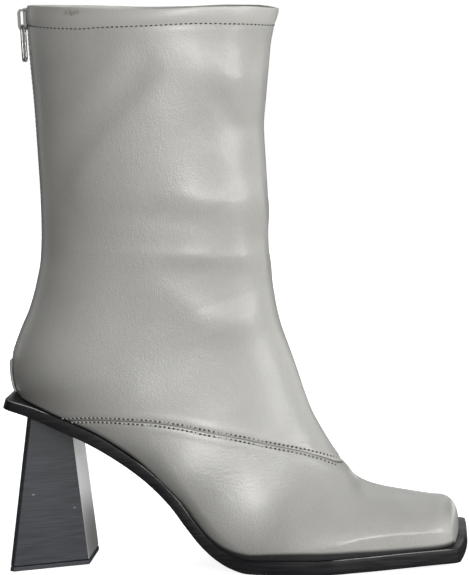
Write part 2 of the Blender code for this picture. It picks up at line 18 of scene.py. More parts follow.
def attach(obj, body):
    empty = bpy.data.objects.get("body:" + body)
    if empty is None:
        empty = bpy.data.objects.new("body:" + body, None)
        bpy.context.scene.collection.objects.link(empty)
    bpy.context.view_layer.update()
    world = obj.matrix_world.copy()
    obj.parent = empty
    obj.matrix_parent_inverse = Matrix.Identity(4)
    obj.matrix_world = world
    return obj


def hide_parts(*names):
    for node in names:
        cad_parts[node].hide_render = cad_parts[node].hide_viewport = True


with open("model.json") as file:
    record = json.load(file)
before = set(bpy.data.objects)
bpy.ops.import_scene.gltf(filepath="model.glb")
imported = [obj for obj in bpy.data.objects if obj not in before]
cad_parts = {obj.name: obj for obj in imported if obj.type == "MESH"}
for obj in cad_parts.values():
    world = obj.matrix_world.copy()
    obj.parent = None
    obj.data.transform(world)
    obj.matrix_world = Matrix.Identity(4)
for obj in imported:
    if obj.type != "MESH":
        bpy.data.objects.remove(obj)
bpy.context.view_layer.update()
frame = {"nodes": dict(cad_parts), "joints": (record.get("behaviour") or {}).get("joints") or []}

bl_info = {
    "name": "Heeled Ankle Boot",
    "version": (1, 0, 0),
    "blender": (4, 5, 0),
    "location": "View3D > Sidebar > Boot",
    "description": "Dresses the solids of a heeled ankle boot and sets up its studio",
    "category": "Object",
}

MM = 0.001
FAR = 40.0                 # a distance, in millimetres, at which a seam or edge no longer matters
GAP = 0.3                  # air between upper and sole
MERGE_DISTANCE = 1e-6      # metres
TINY = 1e-9

# Driving sizes, as in the solids
SOLE_BACK = 0.9
SOLE_FRONT = 241.7
TOE_TIP = 237.2
TOE_BOX = 224.0
TOE_CAP_POWER = 3.0
TOE_CORNER_POWER = 8.0
TOE_CORNER_START = 180.0
TOE_BEYOND = 0.6
TOE_SKEW = 0.03
TOE_BOW = 2.0
TOE_BOW_HALF = 30.0
TOE_WARP_START = 190.0
HEEL_CURVE_START = 36.0
HEEL_BACK = 6.0
HEEL_CURVE_POWER = 2.3
RAND = 0.8
WALL = 2.0
FULL_SHARE = 0.999
ABOVE_SOLE = 1.0
SEAT_CORNER = 4.5
TOE_CORNER = 3.0
SLOPE_STEP = 0.5
SOLE_SAMPLES = 240
BOX_CENTRE_X = SOLE_FRONT / 2

# One row for each station of the sole, from the heel seat to the toe
SoleRow = namedtuple("SoleRow", "x underside thick lateral medial")
SOLE_ROWS = (
    SoleRow(SOLE_BACK, 88.1, 5.2, 25.0, 25.0),
    SoleRow(15.0, 83.3, 5.8, 26.2, 26.0),
    SoleRow(30.0, 76.5, 6.2, 27.3, 26.8),
    SoleRow(45.0, 69.2, 6.4, 27.6, 26.2),
    SoleRow(60.0, 59.9, 6.1, 27.4, 24.8),
    SoleRow(75.0, 48.4, 5.8, 27.8, 23.9),
    SoleRow(88.0, 35.0, 5.6, 29.0, 23.9),
    SoleRow(96.0, 24.0, 5.6, 30.6, 24.7),
    SoleRow(104.0, 13.9, 5.9, 32.6, 26.3),
    SoleRow(112.0, 6.9, 6.3, 34.8, 28.7),
    SoleRow(120.0, 2.5, 6.8, 36.8, 31.5),
    SoleRow(128.0, 0.3, 7.2, 38.6, 34.3),
    SoleRow(135.0, 0.0, 7.4, 39.8, 36.7),
    SoleRow(150.0, 0.0, 7.6, 41.7, 40.4),
    SoleRow(165.0, 0.0, 7.7, 42.4, 42.2),
    SoleRow(172.0, 0.2, 7.8, 42.5, 42.5),
    SoleRow(185.0, 0.9, 7.9, 41.5, 42.0),
    SoleRow(205.0, 1.7, 8.0, 38.7, 39.3),
    SoleRow(225.0, 2.4, 7.9, 35.3, 34.9),
    SoleRow(SOLE_FRONT, 3.0, 7.6, 32.4, 31.0),
)

# One row for each slanting section of the upper, from the sole's edge or the shaft's back to the ridge
UpperRow = namedtuple("UpperRow", "x z ridge_x ridge_z lateral medial level roundness slit")
ON_SOLE = None
SLIT_HALF = 3.0
FOOT_ROWS = (
    UpperRow(TOE_BOX, ON_SOLE, TOE_BOX, 28.8, 34.4, 34.2, 0.46, 2.0, 0.0),
    UpperRow(208.0, ON_SOLE, 209.0, 31.4, 37.4, 37.9, 0.42, 2.0, 0.0),
    UpperRow(189.0, ON_SOLE, 191.5, 35.2, 40.4, 41.0, 0.34, 2.0, 0.0),
    UpperRow(172.0, ON_SOLE, 185.5, 39.1, 42.0, 42.0, 0.22, 1.95, 0.0),
    UpperRow(154.0, ON_SOLE, 180.5, 46.2, 41.8, 41.0, 0.14, 1.9, 0.0),
    UpperRow(137.0, ON_SOLE, 175.5, 53.5, 40.0, 38.2, 0.10, 1.85, 0.0),
    UpperRow(120.0, ON_SOLE, 170.5, 61.9, 37.6, 35.2, 0.09, 1.82, 0.0),
    UpperRow(106.0, ON_SOLE, 166.3, 69.8, 35.6, 33.8, 0.10, 1.82, 0.0),
    UpperRow(92.0, ON_SOLE, 162.6, 77.4, 34.0, 33.0, 0.12, 1.85, 0.0),
    UpperRow(78.0, ON_SOLE, 159.3, 87.0, 33.2, 32.6, 0.16, 1.9, 0.0),
    UpperRow(62.0, ON_SOLE, 156.0, 98.5, 32.6, 32.3, 0.21, 1.98, 0.0),
    UpperRow(45.0, ON_SOLE, 152.5, 110.0, 32.2, 32.0, 0.265, 2.08, 0.0),
    UpperRow(29.0, ON_SOLE, 149.6, 118.8, 32.0, 31.8, 0.315, 2.18, 0.0),
    UpperRow(16.0, ON_SOLE, 147.6, 125.4, 31.8, 31.6, 0.35, 2.28, 0.0),
    UpperRow(8.0, ON_SOLE, 146.5, 131.0, 31.6, 31.5, 0.37, 2.36, 0.0),
    UpperRow(HEEL_BACK, ON_SOLE, 145.6, 136.3, 31.4, 31.4, 0.38, 2.42, 0.0),
)
SHAFT_ROWS = (
    UpperRow(4.0, 98.0, 145.1, 140.5, 31.3, 31.3, 0.385, 2.42, 0.0),
    UpperRow(3.4, 104.5, 144.6, 144.5, 31.2, 31.2, 0.39, 2.4, 0.0),
    UpperRow(3.6, 110.5, 144.2, 148.3, 31.1, 31.1, 0.40, 2.35, 0.0),
    UpperRow(3.8, 112.0, 144.1, 149.4, 31.1, 31.1, 0.405, 2.34, SLIT_HALF),
    UpperRow(4.8, 116.0, 143.8, 152.5, 31.0, 31.0, 0.42, 2.3, SLIT_HALF),
    UpperRow(9.6, 127.5, 143.3, 160.0, 30.9, 30.9, 0.44, 2.2, SLIT_HALF),
    UpperRow(14.5, 137.5, 143.2, 166.5, 30.9, 30.9, 0.45, 2.15, SLIT_HALF),
    UpperRow(19.3, 151.5, 143.4, 175.5, 31.0, 31.0, 0.47, 2.15, SLIT_HALF),
    UpperRow(22.5, 165.5, 143.9, 185.0, 31.3, 31.3, 0.48, 2.1, SLIT_HALF),
    UpperRow(23.9, 183.0, 144.0, 197.5, 31.8, 31.8, 0.49, 2.1, SLIT_HALF),
    UpperRow(24.4, 202.0, 143.8, 212.0, 32.5, 32.5, 0.50, 2.1, SLIT_HALF),
    UpperRow(24.3, 222.0, 143.6, 227.5, 33.2, 33.2, 0.50, 2.1, SLIT_HALF),
    UpperRow(24.1, 243.0, 145.3, 243.5, 34.2, 34.2, 0.50, 2.1, SLIT_HALF),
    UpperRow(23.5, 262.0, 147.5, 259.0, 35.0, 35.0, 0.50, 2.1, SLIT_HALF),
    UpperRow(23.0, 278.0, 149.4, 272.5, 35.6, 35.6, 0.50, 2.1, SLIT_HALF),
    UpperRow(23.0, 288.0, 151.7, 281.5, 35.9, 35.9, 0.50, 2.1, SLIT_HALF),
    UpperRow(23.6, 297.2, 154.3, 291.2, 36.2, 36.2, 0.50, 2.1, SLIT_HALF),
)
UPPER_ROWS = FOOT_ROWS + SHAFT_ROWS
HEEL_ROW = len(FOOT_ROWS) - 1
LAST_ROW = len(UPPER_ROWS) - 1
STRIP_FROM = HEEL_ROW + 0.40
STRIP_TO = HEEL_ROW + 2.95
ZIP_FROM = HEEL_ROW + 4.1
TAPE_TO = LAST_ROW - 0.45          # the zip's tape ends below the rim
COLLAR_ROW = LAST_ROW - 1.0        # the collar's stitches run along this section
COLLAR_DEPTH = 9.4                 # rim to those stitches

# Leather sheet
SECTION_SAMPLES = 1600
TOE_CAP_STEPS = 18
LEATHER_ROWS = 236
LEATHER_AROUND = 74                # columns on each side
EDGE_ROUND = 0.7                   # rounding of the leather's cut edges
LINING_STEP = 2                    # the lining takes every second row and column
LINING_GAP = 0.15
LINING_THICK = 0.5
LINING_MARGIN = 4                  # columns left free along zip and sole
LINING_BELOW = 0.1                 # sections left free under the collar's stitches

# Folds of the soft leather, seen from the side: a line of places in the frame's millimetres, height of the
# ridge (negative for a trough), and its reach to the left and the right of the line, looking along it. A
# crisp fold is steepest just left of its line, so that it catches the light there and ends in an edge
Fold = namedtuple("Fold", "points height left right crisp")
FOLDS = (
    Fold(((-15, 276), (-4, 268), (3, 262), (10, 257), (16, 256), (26, 260)), 2.2, 9.0, 16.0, True),
    Fold(((-36, 201), (-13, 196.5), (-1, 193.6), (9, 192.7), (16, 195.5), (26, 203)), 2.5, 9.5, 16.0, True),
    Fold(((-96, 170), (-64, 169.3), (-35, 168.1), (-15, 166.5), (6, 164.5)), 0.55, 3.5, 9.0, True),
    Fold(((-30, 168.4), (-6, 165), (4, 164.1), (11, 163.9), (25, 170)), 2.6, 10.0, 13.0, True),
    Fold(((-56, 170), (-38, 157), (-19, 144), (-8, 136), (3, 131), (16, 127), (27, 121)),
         1.2, 9.0, 12.0, True),
    Fold(((-13, 234), (-3, 221), (6, 216), (18, 220)), 0.4, 7.0, 10.0, True),
    Fold(((-74, 214), (-60, 232.6), (-47.5, 246), (-35, 257), (-21.6, 266.6)), -0.8, 7.0, 6.0, False),
    Fold(((-82, 234), (-70, 246.7), (-59, 256.6), (-47, 266.7), (-34, 276)), 0.8, 7.0, 8.0, False),
    Fold(((-14, 258), (-29, 249.3), (-42, 238.5), (-56, 225), (-69, 205), (-84, 180)),
         1.9, 24.0, 10.0, False),
    Fold(((-6, 264), (7, 240), (18, 221)), -0.8, 5.0, 6.0, False),
    Fold(((-90, 190), (-34, 188), (1, 184.6), (22, 186)), -0.5, 7.0, 7.0, False),
    Fold(((-48, 162), (-10, 159.5), (20, 153)), -0.5, 5.0, 6.0, False),
)
CREST_ROUND = 1.3                  # rounding of a crisp fold's edge
# Round hills: place, reach along and up, height. The stiff heel counter, the ankle
# and the full side over the arch
HILLS = ((-82.0, 113.0, 24.0, 24.0, 0.4), (-52.0, 88.0, 22.0, 20.0, 2.2), (-30.0, 52.0, 22.0, 18.0, 3.0))
FOLD_SAMPLES = 48
FOLD_TAPER = (0.72, 0.28)          # share of a fold's length over which it fades, at its start and its end
SIDE_TURN = (0.05, 0.45)           # sideways turn of the leather over which the folds come in
MEDIAL_SHIFT = (5.0, -6.0)         # the inner side's folds lie a little further forward and lower
MEDIAL_SHARE = 0.8

# The leather bridges the hollow between toe box and instep: rows' places, and rows over which it is drawn
THROAT = (20.0, 40.0, 84.0, 100.0)
THROAT_ROWS = 7
THROAT_ASIDE = (0.06, 0.3, 0.8, 0.97)   # shares of the way down a side: starts, is full, wanes and ends

# Seams
VAMP_SEAM = ((-96, 80.6), (-81.7, 81.5), (-66, 82.2), (-44.5, 81.0), (-24, 77.6), (-14, 74.9), (6.3, 69.8),
             (16.3, 66.7), (36.3, 60.6), (46.2, 56.6), (54, 52.2), (59.5, 48.5))
SEAM_GROOVE = 0.4
SEAM_GROOVE_REACH = 0.9
SEAM_PUFF = 0.2
SEAM_PUFF_AT = 2.6
SEAM_PUFF_REACH = 1.6
EDGE_SETTLE = 5.0                  # folds and seams flatten towards the sole over this height
COLLAR_BULGE = 0.35
COLLAR_GROOVE = 0.3
COLLAR_GROOVE_REACH = 1.0
COLLAR_FADE = (-0.05, 0.12)        # shares of the collar's depth over which its painted light comes in
SAG_OVER = (0.2, 1.0)              # shares of that depth over which the rim sags
# Places along the boot with the height there, in millimetres: of the collar's stitches over their section,
# of the soft rim's sag, and of the painted shadow on the leather over the sole
COLLAR_WAVE = ((-98, -0.8), (-87, -1.7), (-67, -2.1), (-53, -1.2), (-28, -0.1), (-3, 1.0), (16, 0.6),
               (31, -0.5))
RIM_DIP = ((-98, 0.0), (-70, 0.6), (-40, 1.5), (-18, 1.2), (5, 0.3), (25, 0.3), (34, 2.0))
EDGE_SHADE = ((-121, 0.5), (-14, 0.6), (4, 2.2), (18, 3.4), (32, 3.7), (48, 3.1), (66, 1.9), (84, 1.0),
              (104, 0.5))
STITCH_ASIDE = 1.25                # stitch row to seam
ZIP_STITCH_ASIDE = 2.6             # stitch row to the zip's leather edge
COUNTER_SHADE = (-101.0, 90.0, 26.0, 18.0)   # painted shade over the heel seat: place and reach
ARCH_SHADE = (-62.0, -24.0, 6.0, 46.0)      # painted shade over the arch: where it starts, is full and ends
ARCH_REACH = 15.0                           # its height over the sole
FLEX_PLACE = (18.0, 57.0, 34.0, 15.0)   # wrinkles over the ball: place and reach, seen from the side
FLEX_TURN = (0.1, 0.5)                  # sideways turn of the leather over which they come in

# Stitches
THREAD_SIDES = 6
THREAD_SHARE = 0.62                # length of a visible thread in its pitch
# Rings of a thread: place in its length, share of its full radius, and height in radii
THREAD_RINGS = ((-0.5, 0.55, -0.9), (-0.3, 1.0, 0.1), (0.3, 1.0, 0.1), (0.5, 0.55, -0.9))
FLAT_THREAD = 0.2                  # radius of the thread that is drawn tight along the zip
HOLE_SIZE = (0.7, 0.55)            # half-length along the row and half-width
HOLE_SIDES = 8
HOLE_LIFT = (0.02, 0.1)            # height over the leather, in the middle and at the edge
PATH_STEP = 0.4
TANGENT_STEP = 0.5
VAMP_ROW_ENDS = (2.5, 4.0)         # free ends of the seam's stitch rows
ZIP_STITCHES = (114.0, 286.0)      # heights between which the zip is sewn in
RAY_START = 200.0                  # from here rays look for the leather

# Sole, heel and strip
SOLE_ROUND = 0.45
SOLE_ROUND_STEPS = 4
SOLE_ROUND_LEAST = 0.02
SOLE_CORNER_STEPS = 9
SOLE_STATION = 1.8
SOLE_ACROSS = 8
SOLE_EDGE_LIGHT = ((-125.0, -90.0), (-60.0, -16.0), (46.0, 125.0))   # where a pale highlight is painted along the sole's top edge
EDGE_LIGHT_FADE = 14.0
EDGE_LIGHT_BESIDE = 0.4                  # painted highlight beside the rounded edge
STRIP_HALF = 11.0
STRIP_THICK = 1.1
STRIP_STEPS = 22
STRIP_ACROSS = 30
STRIP_ROUND = 0.4
SOCK_BEVEL = 0.6
HEEL_BEVEL = 0.55
LIFT_BEVEL = 0.35
BREAST_TURN = 0.8                  # faces turned forward by more than this are the heel's breast
# Small pale chips on the heel's outer side and a brownish mark on the collar: place and size
HEEL_CHIPS = (((-106.3, -21.8, 40.7), (1.1, 1.5, 0.8)), ((-86.0, -15.5, 31.6), (0.6, 1.5, 0.6)))
COLLAR_MARK = ((-69.0, -33.0, 292.6), (6.0, 8.0, 1.7))
HEEL_TOP_SHADE = (0.05, 0.075)     # heights, in metres, between which the heel darkens under the sole
BREAST_FADE = (0.012, 0.05)        # heights, in metres, over which the heel's breast is painted lighter towards the top

# Zip
TAPE_HALF = 7.0
TAPE_THICK = 0.6
TAPE_CLEAR = 0.5
TAPE_STEPS = 60
TAPE_ACROSS = 10
CHAIN_TOP_MARGIN = 4.0
CHAIN_SAMPLES = 400
TOOTH_PITCH = 2.1
TOOTH_DEPTH = 0.4
TOOTH_THICK = 1.4
TOOTH_ROUND = 0.25
TOOTH_END = 0.8                    # size of its rounded ends
TOOTH_OUTLINE = ((0.75, 0.42), (0.3, 0.62), (-0.9, 0.5), (-2.2, 0.36))   # head to foot, with half-heights
PULL_WIRE = 0.8
PULL_HALF = 3.7
PULL_LENGTH = 18.2
PULL_CORNER = 2.0
PULL_CORNER_STEPS = 6
PULL_SIDES = 12
SLIDER_BEVEL = 0.3

# Camera: where it stands and what it looks at, and its length for the 36 mm sensor
CAMERA_AZIMUTH = 7.1
CAMERA_ELEVATION = 8.4
CAMERA_ROLL = 2.8
CAMERA_DISTANCE = 1.1
CAMERA_TARGET = (0.00355, 0.0, 0.1450)
CAMERA_LENS = 130.85
CAMERA_REACH = 200.0

FLOOR_SIZE = 60.0
FLOOR_TONE = (0.82, 0.82, 0.82)
FLOOR_MOTTLE = ((0.81, 0.81, 0.81), (0.83, 0.83, 0.83))
FLOOR_FADE = (0.1, 0.6)            # metres from the boot over which the floor turns white
WHITE = (1.0, 1.0, 1.0)
BACKDROP = 1.05                    # brightness of the white surroundings as the camera sees them

# Studio lights: place, what each looks at, size, power and colour
Light = namedtuple("Light", "name place target width height power colour")
LIGHTS = (
    Light("key", (0.78, -1.22, 0.51), (0.0, 0.0, 0.14), 0.6, 0.4, 4.6, (1.0, 0.995, 0.98)),
    Light("right", (1.28, -0.52, 0.73), (0.0, 0.0, 0.14), 0.5, 0.5, 7.9, (1.0, 1.0, 1.0)),
    Light("front", (0.26, -1.47, 0.32), (0.0, 0.0, 0.14), 0.35, 0.28, 10.0, (1.0, 0.995, 0.98)),
    Light("low_right", (1.27, -0.79, 0.20), (0.0, 0.0, 0.10), 0.6, 0.3, 4.6, (1.0, 1.0, 1.0)),
    Light("rear_top", (-0.55, 0.66, 1.37), (0.0, 0.0, 0.14), 0.7, 0.7, 9.0, (1.0, 1.0, 1.0)),
    Light("right_wall", (1.6, 0.7, 0.45), (0.0, 0.0, 0.14), 1.0, 1.0, 4.5, (1.0, 1.0, 1.0)),
    Light("rear_wall", (-0.2, 1.7, 0.7), (0.0, 0.0, 0.14), 1.6, 1.2, 4.0, (1.0, 1.0, 1.0)),
    Light("rear_floor", (0.02, 0.42, 0.004), (0.02, 0.42, 1.0), 0.7, 0.6, 2.6, (1.0, 1.0, 1.0)),
    Light("rear_left", (-1.42, 0.72, 0.45), (0.0, 0.0, 0.18), 0.6, 0.9, 1.5, (1.0, 1.0, 1.0)),
)


def curve(xs, ys, at):
    """Values at the given places of the smooth curve through the points that never swings past them."""
    xs = np.asarray(xs, float)
    ys = np.asarray(ys, float)
    steps = np.diff(ys) / np.diff(xs)
    before = steps[:-1]
    after = steps[1:]
    same_way = before * after > 0
    total = np.where(same_way, before + after, 1.0)
    inner = np.where(same_way, 2 * before * after / total, 0.0)
    slopes = np.concatenate(([steps[0]], inner, [steps[-1]]))
    at = np.clip(np.asarray(at, float), xs[0], xs[-1])
    i = np.clip(np.searchsorted(xs, at, side="right") - 1, 0, len(xs) - 2)
    width = xs[i + 1] - xs[i]
    t = (at - xs[i]) / width
    start = (1 + 2 * t) * (1 - t) ** 2 * ys[i] + t * (1 - t) ** 2 * width * slopes[i]
    end = t * t * (3 - 2 * t) * ys[i + 1] + t * t * (t - 1) * width * slopes[i + 1]
    return start + end


def smoothstep(low, high, value):
    """0 below low, 1 above high, and a soft change between them."""
    t = np.clip((value - low) / (high - low), 0.0, 1.0)
    return t * t * (3 - 2 * t)


def along_boot(table, x):
    """A height that changes along the boot, from its table of places and heights."""
    return curve(*zip(*table), x)


def run_length(points):
    """Length along a line of points, from its start to each of them."""
    return np.concatenate(([0.0], np.cumsum(np.linalg.norm(np.diff(points, axis=0), axis=1))))


def smooth_line(points, spacing):
    """A smooth line through places seen from the side, at the distances that spacing gives for its length."""
    points = np.asarray(points, float)
    length = run_length(points)
    at = spacing(length[-1])
    return np.stack([curve(length, points[:, 0], at), curve(length, points[:, 1], at)], axis=-1)


def unit(vectors):
    """Vectors of length 1 in the same directions."""
    return vectors / np.maximum(np.linalg.norm(vectors, axis=-1, keepdims=True), TINY)


def sole_value(column, x):
    """One column of the sole's table at x."""
    return curve([row.x for row in SOLE_ROWS], [getattr(row, column) for row in SOLE_ROWS], x)


def sole_frame(x):
    """Underside point, top point and thickness of the sole at stations x, square to its slope."""
    behind = np.maximum(x - SLOPE_STEP, SOLE_BACK)
    ahead = np.minimum(x + SLOPE_STEP, SOLE_FRONT)
    z = sole_value("underside", x)
    slope = (sole_value("underside", ahead) - sole_value("underside", behind)) / (ahead - behind)
    length = np.hypot(slope, 1.0)
    thick = sole_value("thick", x)
    return z, x - slope / length * thick, z + thick / length, thick


@lru_cache(maxsize=None)
def sole_top_line():
    """x and z of the sole's top along the boot."""
    stations = np.linspace(SOLE_BACK, SOLE_FRONT, SOLE_SAMPLES + 1)
    _z, top_x, top_z, _thick = sole_frame(stations)
    return top_x, top_z


def sole_top(x):
    """Height of the sole's top at x."""
    return np.interp(x, *sole_top_line())


def feather(x, side):
    """Half-width of the upper's lower edge at x."""
    x = np.asarray(x, float)
    half = sole_value(side, x) - RAND
    toe = np.clip((x - TOE_CORNER_START) / (TOE_TIP + TOE_BEYOND - TOE_CORNER_START), 0.0, 1.0)
    half = half * (1 - toe ** TOE_CORNER_POWER) ** (1 / TOE_CORNER_POWER)
    heel = np.clip((HEEL_CURVE_START - x) / (HEEL_CURVE_START - HEEL_BACK), 0.0, 1.0)
    return half * (1 - heel ** HEEL_CURVE_POWER) ** (1 / HEEL_CURVE_POWER)


def section(numbers):
    """Columns of the upper's sections at row numbers, which may lie between two rows."""
    numbers = np.asarray(numbers, float)
    rows = range(len(UPPER_ROWS))
    cuts = {name: curve(rows, [getattr(row, name) for row in UPPER_ROWS], numbers)
            for name in UpperRow._fields if name != "z"}
    heights = [sole_top(row.x) + GAP if row.z is ON_SOLE else row.z for row in UPPER_ROWS]
    cuts["z"] = np.where(numbers <= HEEL_ROW, sole_top(cuts["x"]) + GAP, curve(rows, heights, numbers))
    return cuts


def toe_cap(angles):
    """Sections of the rounding between the toe box and the tip; at 90 degrees a section is flat."""
    cuts = section(np.zeros_like(angles))
    power = 2 / TOE_CAP_POWER
    turn = np.clip(np.cos(angles), 0.0, 1.0)
    height = (cuts["ridge_z"] - cuts["z"]) * turn ** power
    cuts["x"] = TOE_BOX + (TOE_TIP - TOE_BOX) * np.sin(angles) ** power
    for side in ("lateral", "medial"):
        cuts[side] = feather(cuts["x"], side) + (cuts[side] - feather(TOE_BOX, side)) * turn
    cuts["ridge_x"] = cuts["x"]
    cuts["z"] = sole_top(cuts["x"]) + GAP
    cuts["ridge_z"] = cuts["z"] + height
    return cuts


def side_points(cuts, side, steps):
    """Points of one side of every section, from its lower edge up to its ridge."""
    column = {name: values[:, None] for name, values in cuts.items()}
    widest = column[side]
    power = column["roundness"]
    level = column["level"]
    on_shaft = column["z"] > sole_top(column["x"]) + ABOVE_SOLE
    start = np.where(on_shaft, column["slit"], feather(column["x"], side))
    start = np.minimum(start, widest * FULL_SHARE)
    shape = (1 - (start / widest) ** power) ** (1 / power)
    first = np.arccos(np.minimum(1.0, shape ** (power / 2)))
    angle = first + (np.pi - first) * np.linspace(0, 1, steps + 1)
    reach = np.abs(np.cos(angle)) ** (2 / power)
    along = np.where(angle < np.pi / 2, level - level / shape * reach, level + (1 - level) * reach)
    half = widest * np.clip(np.sin(angle), 0.0, None) ** (2 / power)
    sign = -1 if side == "lateral" else 1
    return np.stack([column["x"] + (column["ridge_x"] - column["x"]) * along, sign * half,
                     column["z"] + (column["ridge_z"] - column["z"]) * along], axis=-1)


def back_points(cuts, across):
    """Points of the shaft's back at the sideways places across, one row for each section."""
    column = {name: values[:, None] for name, values in cuts.items()}
    widest = np.where(across < 0, column["lateral"], column["medial"])
    power = column["roundness"]
    along = column["level"] * (1 - (1 - (np.abs(across) / widest) ** power) ** (1 / power))
    x = column["x"] + (column["ridge_x"] - column["x"]) * along
    z = column["z"] + (column["ridge_z"] - column["z"]) * along
    return np.stack([x, across + 0 * x, z], axis=-1)


def place(points):
    """Points in the frame's millimetres: the toe's lean and bow added, the box centred."""
    x, y, z = np.moveaxis(np.asarray(points, float), -1, 0)
    ease = smoothstep(TOE_WARP_START, TOE_TIP, x)
    x = x + ease * (TOE_SKEW * y - TOE_BOW * (y / TOE_BOW_HALF) ** 2)
    return np.stack([x - BOX_CENTRE_X, y, z], axis=-1)


def grid_normals(points):
    """Unit normals of a grid of points, outward for the upper's order of rows and columns."""
    around = np.gradient(points, axis=1)
    along = np.gradient(points, axis=0)
    return unit(np.cross(around, along))


def path_distance(points, path):
    """Signed distance, positive on the left, and share of the length, from points to a smooth path."""
    line = smooth_line(path, lambda length: np.linspace(0.0, length, FOLD_SAMPLES))
    best = np.full(len(points), np.inf)
    signed = np.zeros(len(points))
    share = np.zeros(len(points))
    for k in range(FOLD_SAMPLES - 1):
        step = line[k + 1] - line[k]
        offset = points - line[k]
        t = np.clip(offset @ step / (step @ step), 0.0, 1.0)
        away = offset - t[:, None] * step
        distance = np.hypot(away[:, 0], away[:, 1])
        nearer = distance < best
        best = np.where(nearer, distance, best)
        side = np.sign(step[0] * offset[:, 1] - step[1] * offset[:, 0])
        signed = np.where(nearer, side * distance, signed)
        share = np.where(nearer, (k + t) / (FOLD_SAMPLES - 1), share)
    return signed, share


def fold_height(side_view, fold):
    """Height that one fold adds at places seen from the side."""
    distance, share = path_distance(side_view, fold.points)
    at_start, at_end = FOLD_TAPER
    fade = smoothstep(0.0, at_start, share) * (1 - smoothstep(1.0 - at_end, 1.0, share))
    soft = np.exp(-(distance / np.where(distance > 0, fold.left, fold.right)) ** 2)
    steep = np.exp((CREST_ROUND - np.hypot(distance, CREST_ROUND)) / fold.left)
    return fold.height * fade * np.where(fold.crisp & (distance > 0), steep, soft)


def bulge(side_view, x, z, reach_x, reach_z):
    """A soft round hill of height 1 at a place seen from the side."""
    away = ((side_view[:, 0] - x) / reach_x) ** 2 + ((side_view[:, 1] - z) / reach_z) ** 2
    return np.exp(-away)


def fold_relief(side_view, turned, fold_share):
    """Height of folds and hills; the inner side has the outer side's folds, moved and lowered."""
    sides = ((smoothstep(*SIDE_TURN, -turned), side_view, 1.0),
             (smoothstep(*SIDE_TURN, turned), side_view - np.array(MEDIAL_SHIFT), MEDIAL_SHARE))
    relief = np.zeros(len(side_view))
    for weight, view, share in sides:
        for fold in FOLDS:
            relief += fold_share * share * weight * fold_height(view, fold)
        for *hill, height in HILLS:
            relief += weight * height * bulge(view, *hill)
    return relief


def painted_shade_share(side_view, from_edge):
    """How much painted shade darkens the leather over the heel seat and along the arch."""
    start, full, ends, out = ARCH_SHADE
    x = side_view[:, 0]
    arch = smoothstep(start, full, x) * (1 - smoothstep(ends, out, x)) * np.exp(-from_edge / ARCH_REACH)
    return np.maximum(bulge(side_view, *COUNTER_SHADE), arch)


def bridge_throat(points):
    """Draws the sides' leather smoothly over the hollow between toe box and instep."""
    weights = np.exp(-0.5 * (np.arange(-2 * THROAT_ROWS, 2 * THROAT_ROWS + 1) / THROAT_ROWS) ** 2)
    weights /= weights.sum()
    padded = np.pad(points, ((2 * THROAT_ROWS, 2 * THROAT_ROWS), (0, 0), (0, 0)), mode="edge")
    drawn = sum(weight * padded[k:k + len(points)] for k, weight in enumerate(weights))
    column = np.abs(np.arange(points.shape[1]) - LEATHER_AROUND) / LEATHER_AROUND
    start, full, wane, end = THROAT_ASIDE
    aside = smoothstep(start, full, column) * (1 - smoothstep(wane, end, column))
    back, full_back, full_front, front = THROAT
    x = points[..., 0]
    along = smoothstep(back, full_back, x) * (1 - smoothstep(full_front, front, x))
    share = (aside[None, :] * along)[..., None]
    return points * (1 - share) + drawn * share


def sheet_sections():
    """Sections of the toe's rounding and evenly spaced ones behind it, with their section numbers."""
    fine = np.linspace(0.0, LAST_ROW, SECTION_SAMPLES)
    cuts = section(fine)
    middle = np.stack([(cuts["x"] + cuts["ridge_x"]) / 2, (cuts["z"] + cuts["ridge_z"]) / 2], axis=-1)
    length = run_length(middle)
    numbers = np.interp(np.linspace(0.0, length[-1], LEATHER_ROWS), length, fine)
    toe = toe_cap(np.pi / 2 * np.arange(TOE_CAP_STEPS, 0, -1) / TOE_CAP_STEPS)
    rest = section(numbers)
    cuts = {name: np.concatenate((toe[name], rest[name])) for name in rest}
    return cuts, np.concatenate((np.zeros(TOE_CAP_STEPS), numbers))


def seam_detail(seam, rim):
    """Height of seam grooves, puffed leather beside them and the collar's roll and stitch groove."""
    band = np.clip(rim, 0.0, 1.0)
    groove = np.exp(-(rim * COLLAR_DEPTH / COLLAR_GROOVE_REACH) ** 2)
    detail = COLLAR_BULGE * np.sin(np.pi * band) - COLLAR_GROOVE * groove
    detail -= SEAM_GROOVE * np.exp(-(seam / SEAM_GROOVE_REACH) ** 2)
    detail += SEAM_PUFF * np.exp(-((seam - SEAM_PUFF_AT) / SEAM_PUFF_REACH) ** 2)
    return detail


